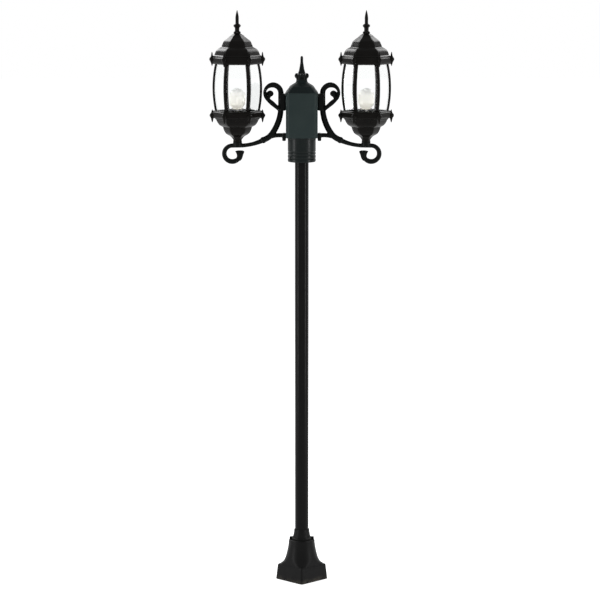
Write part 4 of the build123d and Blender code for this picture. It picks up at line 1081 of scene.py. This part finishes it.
# Two rims to each lantern, cast bands with an acorn spindle on every corner.
# Blackened screws hold the lower one to the bowl, and the upper one carries the roof.
RIM_HEIGHT = 28.0
SPINDLE_CIRCLE = 92.7
SPINDLE_SHIFT = 3.5  # from the middle of the rim, up on the upper one and down on the lower one
RIM = eased(
    [(66.0, 0.0), (88.6, 0.0), (91.4, 1.0), (92.6, 3.4), (94.6, 5.6), (95.0, 6.8)]
    + [(95.0, 20.8), (94.4, 22.6), (92.4, 24.0), (91.4, 26.6), (90.0, 28.0)],
    0.5,
)
LOWER_RIM = of_kind(
    RIM + [(72.0, 28.0), (72.0, 24.0), (86.5, 24.0), (86.5, 4.0), (66.0, 4.0), (66.0, 0.0)], SIX_SIDED
)
UPPER_RIM = of_kind(
    [(72.0, 0.0)] + RIM[1:] + [(86.5, 28.0), (86.5, 4.0), (72.0, 4.0), (72.0, 0.0)], SIX_SIDED
)
UPPER_SPINDLE = of_kind(
    [(0.0, -25.2), (1.0, -24.4), (2.2, -20.5), (3.4, -16.5), (4.5, -13.0), (5.6, -10.0)]
    + [(7.8, -6.5), (9.7, -3.0), (10.2, 0.0), (9.7, 3.0), (7.6, 6.5), (5.2, 9.5)]
    + [(3.7, 13.0), (2.7, 19.0), (1.9, 23.6), (0.9, 26.3), (0.0, 27.0)],
    ROUND,
)
LOWER_SPINDLE = of_kind(
    [(0.0, -27.0), (1.2, -26.0), (2.4, -22.5), (3.7, -16.6), (4.6, -12.5), (5.8, -9.5)]
    + [(8.0, -6.0), (9.7, -3.0), (10.2, 0.0), (9.6, 3.0), (7.4, 6.3), (5.0, 9.0)]
    + [(3.5, 12.0), (2.3, 17.0), (1.1, 21.2), (0.0, 22.4)],
    ROUND,
)
for word, axis_x in LANTERNS:
    cage_low, cage_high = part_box(f"{word}_cage_bars")
    for part, outline, spindle_outline, rim_z, shift in (
        ("lower_rim", LOWER_RIM, LOWER_SPINDLE, cage_low[2] - RIM_HEIGHT * MM, -SPINDLE_SHIFT),
        ("upper_rim", UPPER_RIM, UPPER_SPINDLE, cage_high[2], SPINDLE_SHIFT),
    ):
        band = turned(outline, lantern_paint, axis_x, rim_z)
        spindle_z = rim_z + (RIM_HEIGHT / 2 + shift) * MM
        spindle = turned(spindle_outline, lantern_paint, SPINDLE_CIRCLE * MM, spindle_z, 3)
        spindles = ring_of(spindle, lantern_paint, 6, 0.0, axis_x)
        piece(f"{word}_{part}_casting", [band, spindles], "head", (f"{word}_{part}",))
    finish_node(f"{word}_rim_screws", dark_steel)

# A pressed tray closes the bowl, and carries the lamp holder in its cup.
# The holder is white moulded plastic, and the tray and cup are painted sheet.
sheet_paint = painted(
    "lantern sheet black", (0.0065, 0.0062, 0.0058), (0.012, 0.0115, 0.0105),
    roughness=0.42, chalky=0.6, dust_height=0.01, skin_depth=0.08, specular=0.1,
)
for word, axis_x in LANTERNS:
    finish_node(f"{word}_tray", sheet_paint)
    finish_node(f"{word}_socket_cup", sheet_paint)
    finish_node(f"{word}_socket", white_plastic)

# Frosted bulbs in plain screw caps.
# The glass is etched inside, so it looks milky, and a little warmer near its foot.
BULB_R = 30.3
BULB_DOME_FOOT = 46.7
BULB = of_kind(
    [(0.0, 0.0), (12.6, 0.0)]
    + flowing(
        [(13.2, 0.4), (16.0, 3.0), (20.6, 7.0), (25.2, 12.6), (28.6, 20.0), (30.2, 29.0), (BULB_R, 38.0)],
        4,
    )
    + [
        (BULB_R * math.cos(math.radians(d)), BULB_DOME_FOOT + BULB_R * math.sin(math.radians(d)))
        for d in range(0, 91, 6)
    ],
    ROUND,
)
bulb_glass = bpy.data.materials.new("frosted bulb with painted glow")
bulb_glass.use_nodes = True
bulb_nodes = bulb_glass.node_tree.nodes
bulb_shader = bulb_nodes["Principled BSDF"]
bulb_where = bulb_nodes.new("ShaderNodeTexCoord")
bulb_height = bulb_nodes.new("ShaderNodeSeparateXYZ")
link(bulb_nodes, bulb_where.outputs["Object"], bulb_height.inputs["Vector"])
bulb_ramp = bulb_nodes.new("ShaderNodeValToRGB")
bulb_ramp.color_ramp.elements[0].color = (0.93, 0.89, 0.78, 1.0)
bulb_ramp.color_ramp.elements[1].color = (0.72, 0.72, 0.71, 1.0)
bulb_cloud = noise(bulb_nodes, bulb_where.outputs["Object"], 35.0, 2.0)
bulb_rise = span(bulb_nodes, bulb_height.outputs["Z"], 1.774, 1.851)
bulb_cloud = math_sum(bulb_nodes, "MULTIPLY_ADD", bulb_cloud, 0.08, -0.04)
bulb_rise = math_sum(bulb_nodes, "ADD", bulb_rise, bulb_cloud)
link(bulb_nodes, bulb_rise, bulb_ramp.inputs["Fac"])
link(bulb_nodes, bulb_ramp.outputs["Color"], bulb_shader.inputs["Base Color"])
# The bulb also glows faintly in its own colours. This is painted light, standing in for the lamp light that
# the panes keep from it.
link(bulb_nodes, bulb_ramp.outputs["Color"], bulb_shader.inputs["Emission Color"])
bulb_shader.inputs["Emission Strength"].default_value = 0.3
bulb_shader.inputs["Roughness"].default_value = 0.5
bulb_cap = metal("bulb cap", (0.62, 0.61, 0.58), (0.45, 0.44, 0.4), 0.5, 0.28)
for word, axis_x in LANTERNS:
    bulb = turned(BULB, bulb_glass, axis_x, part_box(f"{word}_bulb")[0][2], 8)
    piece(f"{word}_bulb_glass", [bulb], f"{word}_bulb", (f"{word}_bulb",))
    finish_node(f"{word}_bulb_base", bulb_cap)

# Six bowed bars to each cage, cast in aluminium and ribbed on their outer faces.
# They join the two rims and keep the panes in.
BAR_FOOT_R, BAR_BELLY_R, BAR_TOP_R = 83.3, 91.6, 82.0
CAGE_HEIGHT = 171.0
BAR_STEPS = 24
RIB = 1.2


def cage_bar(material):
    """One bowed bar on the +X side, ribbed on its outer face."""
    face = [(-6.0, -2.6), (-5.2, -0.9), (-3.3, -0.5), (-2.3, 0.1), (-1.2, 0.9), (0.0, RIB)]
    section = face + [(-y, x) for y, x in reversed(face[:-1])] + [(6.0, -8.8), (-6.0, -8.8)]
    bow = BAR_BELLY_R - (BAR_FOOT_R + BAR_TOP_R) / 2
    rings = []
    for step in range(BAR_STEPS + 1):
        t = step / BAR_STEPS
        radius = BAR_FOOT_R + (BAR_TOP_R - BAR_FOOT_R) * t + bow * 4 * t * (1 - t) - RIB
        rings.append([((radius + x) * MM, y * MM, CAGE_HEIGHT * t * MM) for y, x in section])
    return stacked("bar", rings, material)


for word, axis_x in LANTERNS:
    foot_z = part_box(f"{word}_cage_bars")[0][2]
    cage = ring_of(raised(cage_bar(lantern_paint), foot_z), lantern_paint, 6, 0.0, axis_x)
    piece(f"{word}_cage_bars_casting", [cage], "head", (f"{word}_cage_bars",))

# The panes, six bent sheets of clear glass to each lantern, with faint waves from the bending.
# They stand in the cage behind the bars.
clear_glass = bpy.data.materials.new("clear glass")
clear_glass.use_nodes = True
glass_nodes = clear_glass.node_tree.nodes
glass_shader = glass_nodes["Principled BSDF"]
glass_where = glass_nodes.new("ShaderNodeTexCoord")
glass_waves = noise(glass_nodes, glass_where.outputs["Object"], 22.0, 1.0)
glass_bump = glass_nodes.new("ShaderNodeBump")
glass_bump.inputs["Strength"].default_value = 0.04
glass_bump.inputs["Distance"].default_value = 0.001
link(glass_nodes, glass_waves, glass_bump.inputs["Height"])
link(glass_nodes, glass_bump.outputs["Normal"], glass_shader.inputs["Normal"])
glass_film = noise(glass_nodes, glass_where.outputs["Object"], 9.0, 3.0)
glass_film = span(glass_nodes, glass_film, 0.35, 0.8, 0.0, 0.03)
link(glass_nodes, glass_film, glass_shader.inputs["Roughness"])
glass_shader.inputs["Base Color"].default_value = (0.985, 0.993, 0.99, 1.0)
glass_shader.inputs["IOR"].default_value = 1.45
glass_shader.inputs["Transmission Weight"].default_value = 1.0
for word, axis_x in LANTERNS:
    finish_node(f"{word}_panes", clear_glass)

# A strap of painted sheet lies across the upper rim on two blackened screws.
# Its welded nut holds the zinc plated stud that the finial screws down on.
for word, axis_x in LANTERNS:
    finish_node(f"{word}_roof_strap", sheet_paint)
    finish_node(f"{word}_strap_screws", dark_steel)
    finish_node(f"{word}_roof_stud", zinc)

# The roofs, six-sided castings in two steps under a short spire, open below.
# Each carries a little collar of six lobes and lifts off once its finial is unscrewed.
ROOF = (
    of_kind(
        [(77.0, 0.0), (88.4, 0.0), (89.0, 0.6), (88.8, 1.4), (87.4, 2.6), (85.2, 4.0), (84.0, 5.0)]
        + flowing(
            [(83.6, 5.8), (82.8, 8.4), (81.4, 12.0), (80.0, 15.6)]
            + [(78.0, 19.4), (75.4, 22.8), (72.4, 25.8), (70.4, 27.6)],
            3,
        )
        + [(69.2, 28.6), (68.6, 29.0), (64.6, 30.8), (60.4, 32.8), (58.6, 33.8)]
        + flowing(
            [(57.4, 35.4), (56.4, 39.4), (54.8, 43.0), (53.2, 46.6), (51.6, 50.4)]
            + [(49.8, 54.2), (46.6, 57.8), (42.4, 61.0), (38.6, 63.8), (34.5, 66.9)]
            + [(29.5, 70.6), (26.0, 74.3), (22.0, 77.6), (16.5, 80.8), (14.2, 82.4)],
            3,
        ),
        SIX_SIDED,
    )
    + [(13.8, 83.0, 20.0), (4.4, 83.0, ROUND), (4.4, 78.0, ROUND)]
    + of_kind(
        [(12.0, 77.0), (25.0, 69.0), (36.0, 60.0), (44.0, 52.0), (49.0, 44.5), (52.0, 33.0)]
        + [(64.0, 26.0), (72.0, 19.5), (76.0, 9.5), (77.0, 0.0)],
        SIX_SIDED,
    )
)
CROWN = of_kind(
    [(4.4, 0.0), (12.6, 0.0), (12.9, 0.5)]
    + flowing([(12.4, 1.6), (11.2, 3.0), (10.5, 4.6), (9.8, 6.2), (8.8, 7.9)], 3)
    + [(8.5, 8.0), (4.4, 8.0), (4.4, 0.0)],
    ROUND,
)
for word, axis_x in LANTERNS:
    roof = turned(ROOF, lantern_paint, axis_x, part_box(f"{word}_roof")[0][2])
    piece(f"{word}_roof_casting", [roof], f"{word}_roof", (f"{word}_roof",))
    crown_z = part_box(f"{word}_crown")[0][2]
    core = turned(CROWN, lantern_paint, axis_x, crown_z)
    petal = raised(egg((10.6, 0.0, 4.0), (3.9, 4.2, 4.0)), crown_z)
    petals = ring_of(petal, lantern_paint, 6, 30.0, axis_x)
    piece(f"{word}_crown_casting", [core, petals], f"{word}_roof", (f"{word}_crown",))

# The lantern finials, turned knobs with a flattened ball and a tapering spike.
# Unscrewing one from its stud frees the roof.
FINIAL = of_kind(
    [(0.0, 0.0), (8.6, 0.0), (9.0, 0.7), (8.8, 1.7)]
    + flowing([(8.5, 2.8), (8.3, 5.0), (8.3, 8.0), (8.5, 11.0)], 3)
    + [
        (13.6 * math.sin(math.radians(d)), 20.8 - 8.2 * math.cos(math.radians(d)))
        for d in range(44, 150, 8)
    ]
    + flowing([(6.6, 28.4), (6.3, 31.0), (6.2, 37.0), (6.3, 44.0), (6.3, 50.0)], 3)
    + flowing([(5.9, 54.0), (5.0, 60.0), (3.7, 66.5), (2.2, 72.5), (1.0, 76.6), (0.0, 78.0)], 3),
    ROUND,
)
for word, axis_x in LANTERNS:
    finial = turned(FINIAL, lantern_paint, axis_x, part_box(f"{word}_finial")[0][2])
    piece(f"{word}_finial_casting", [finial], f"{word}_finial", (f"{word}_finial",))
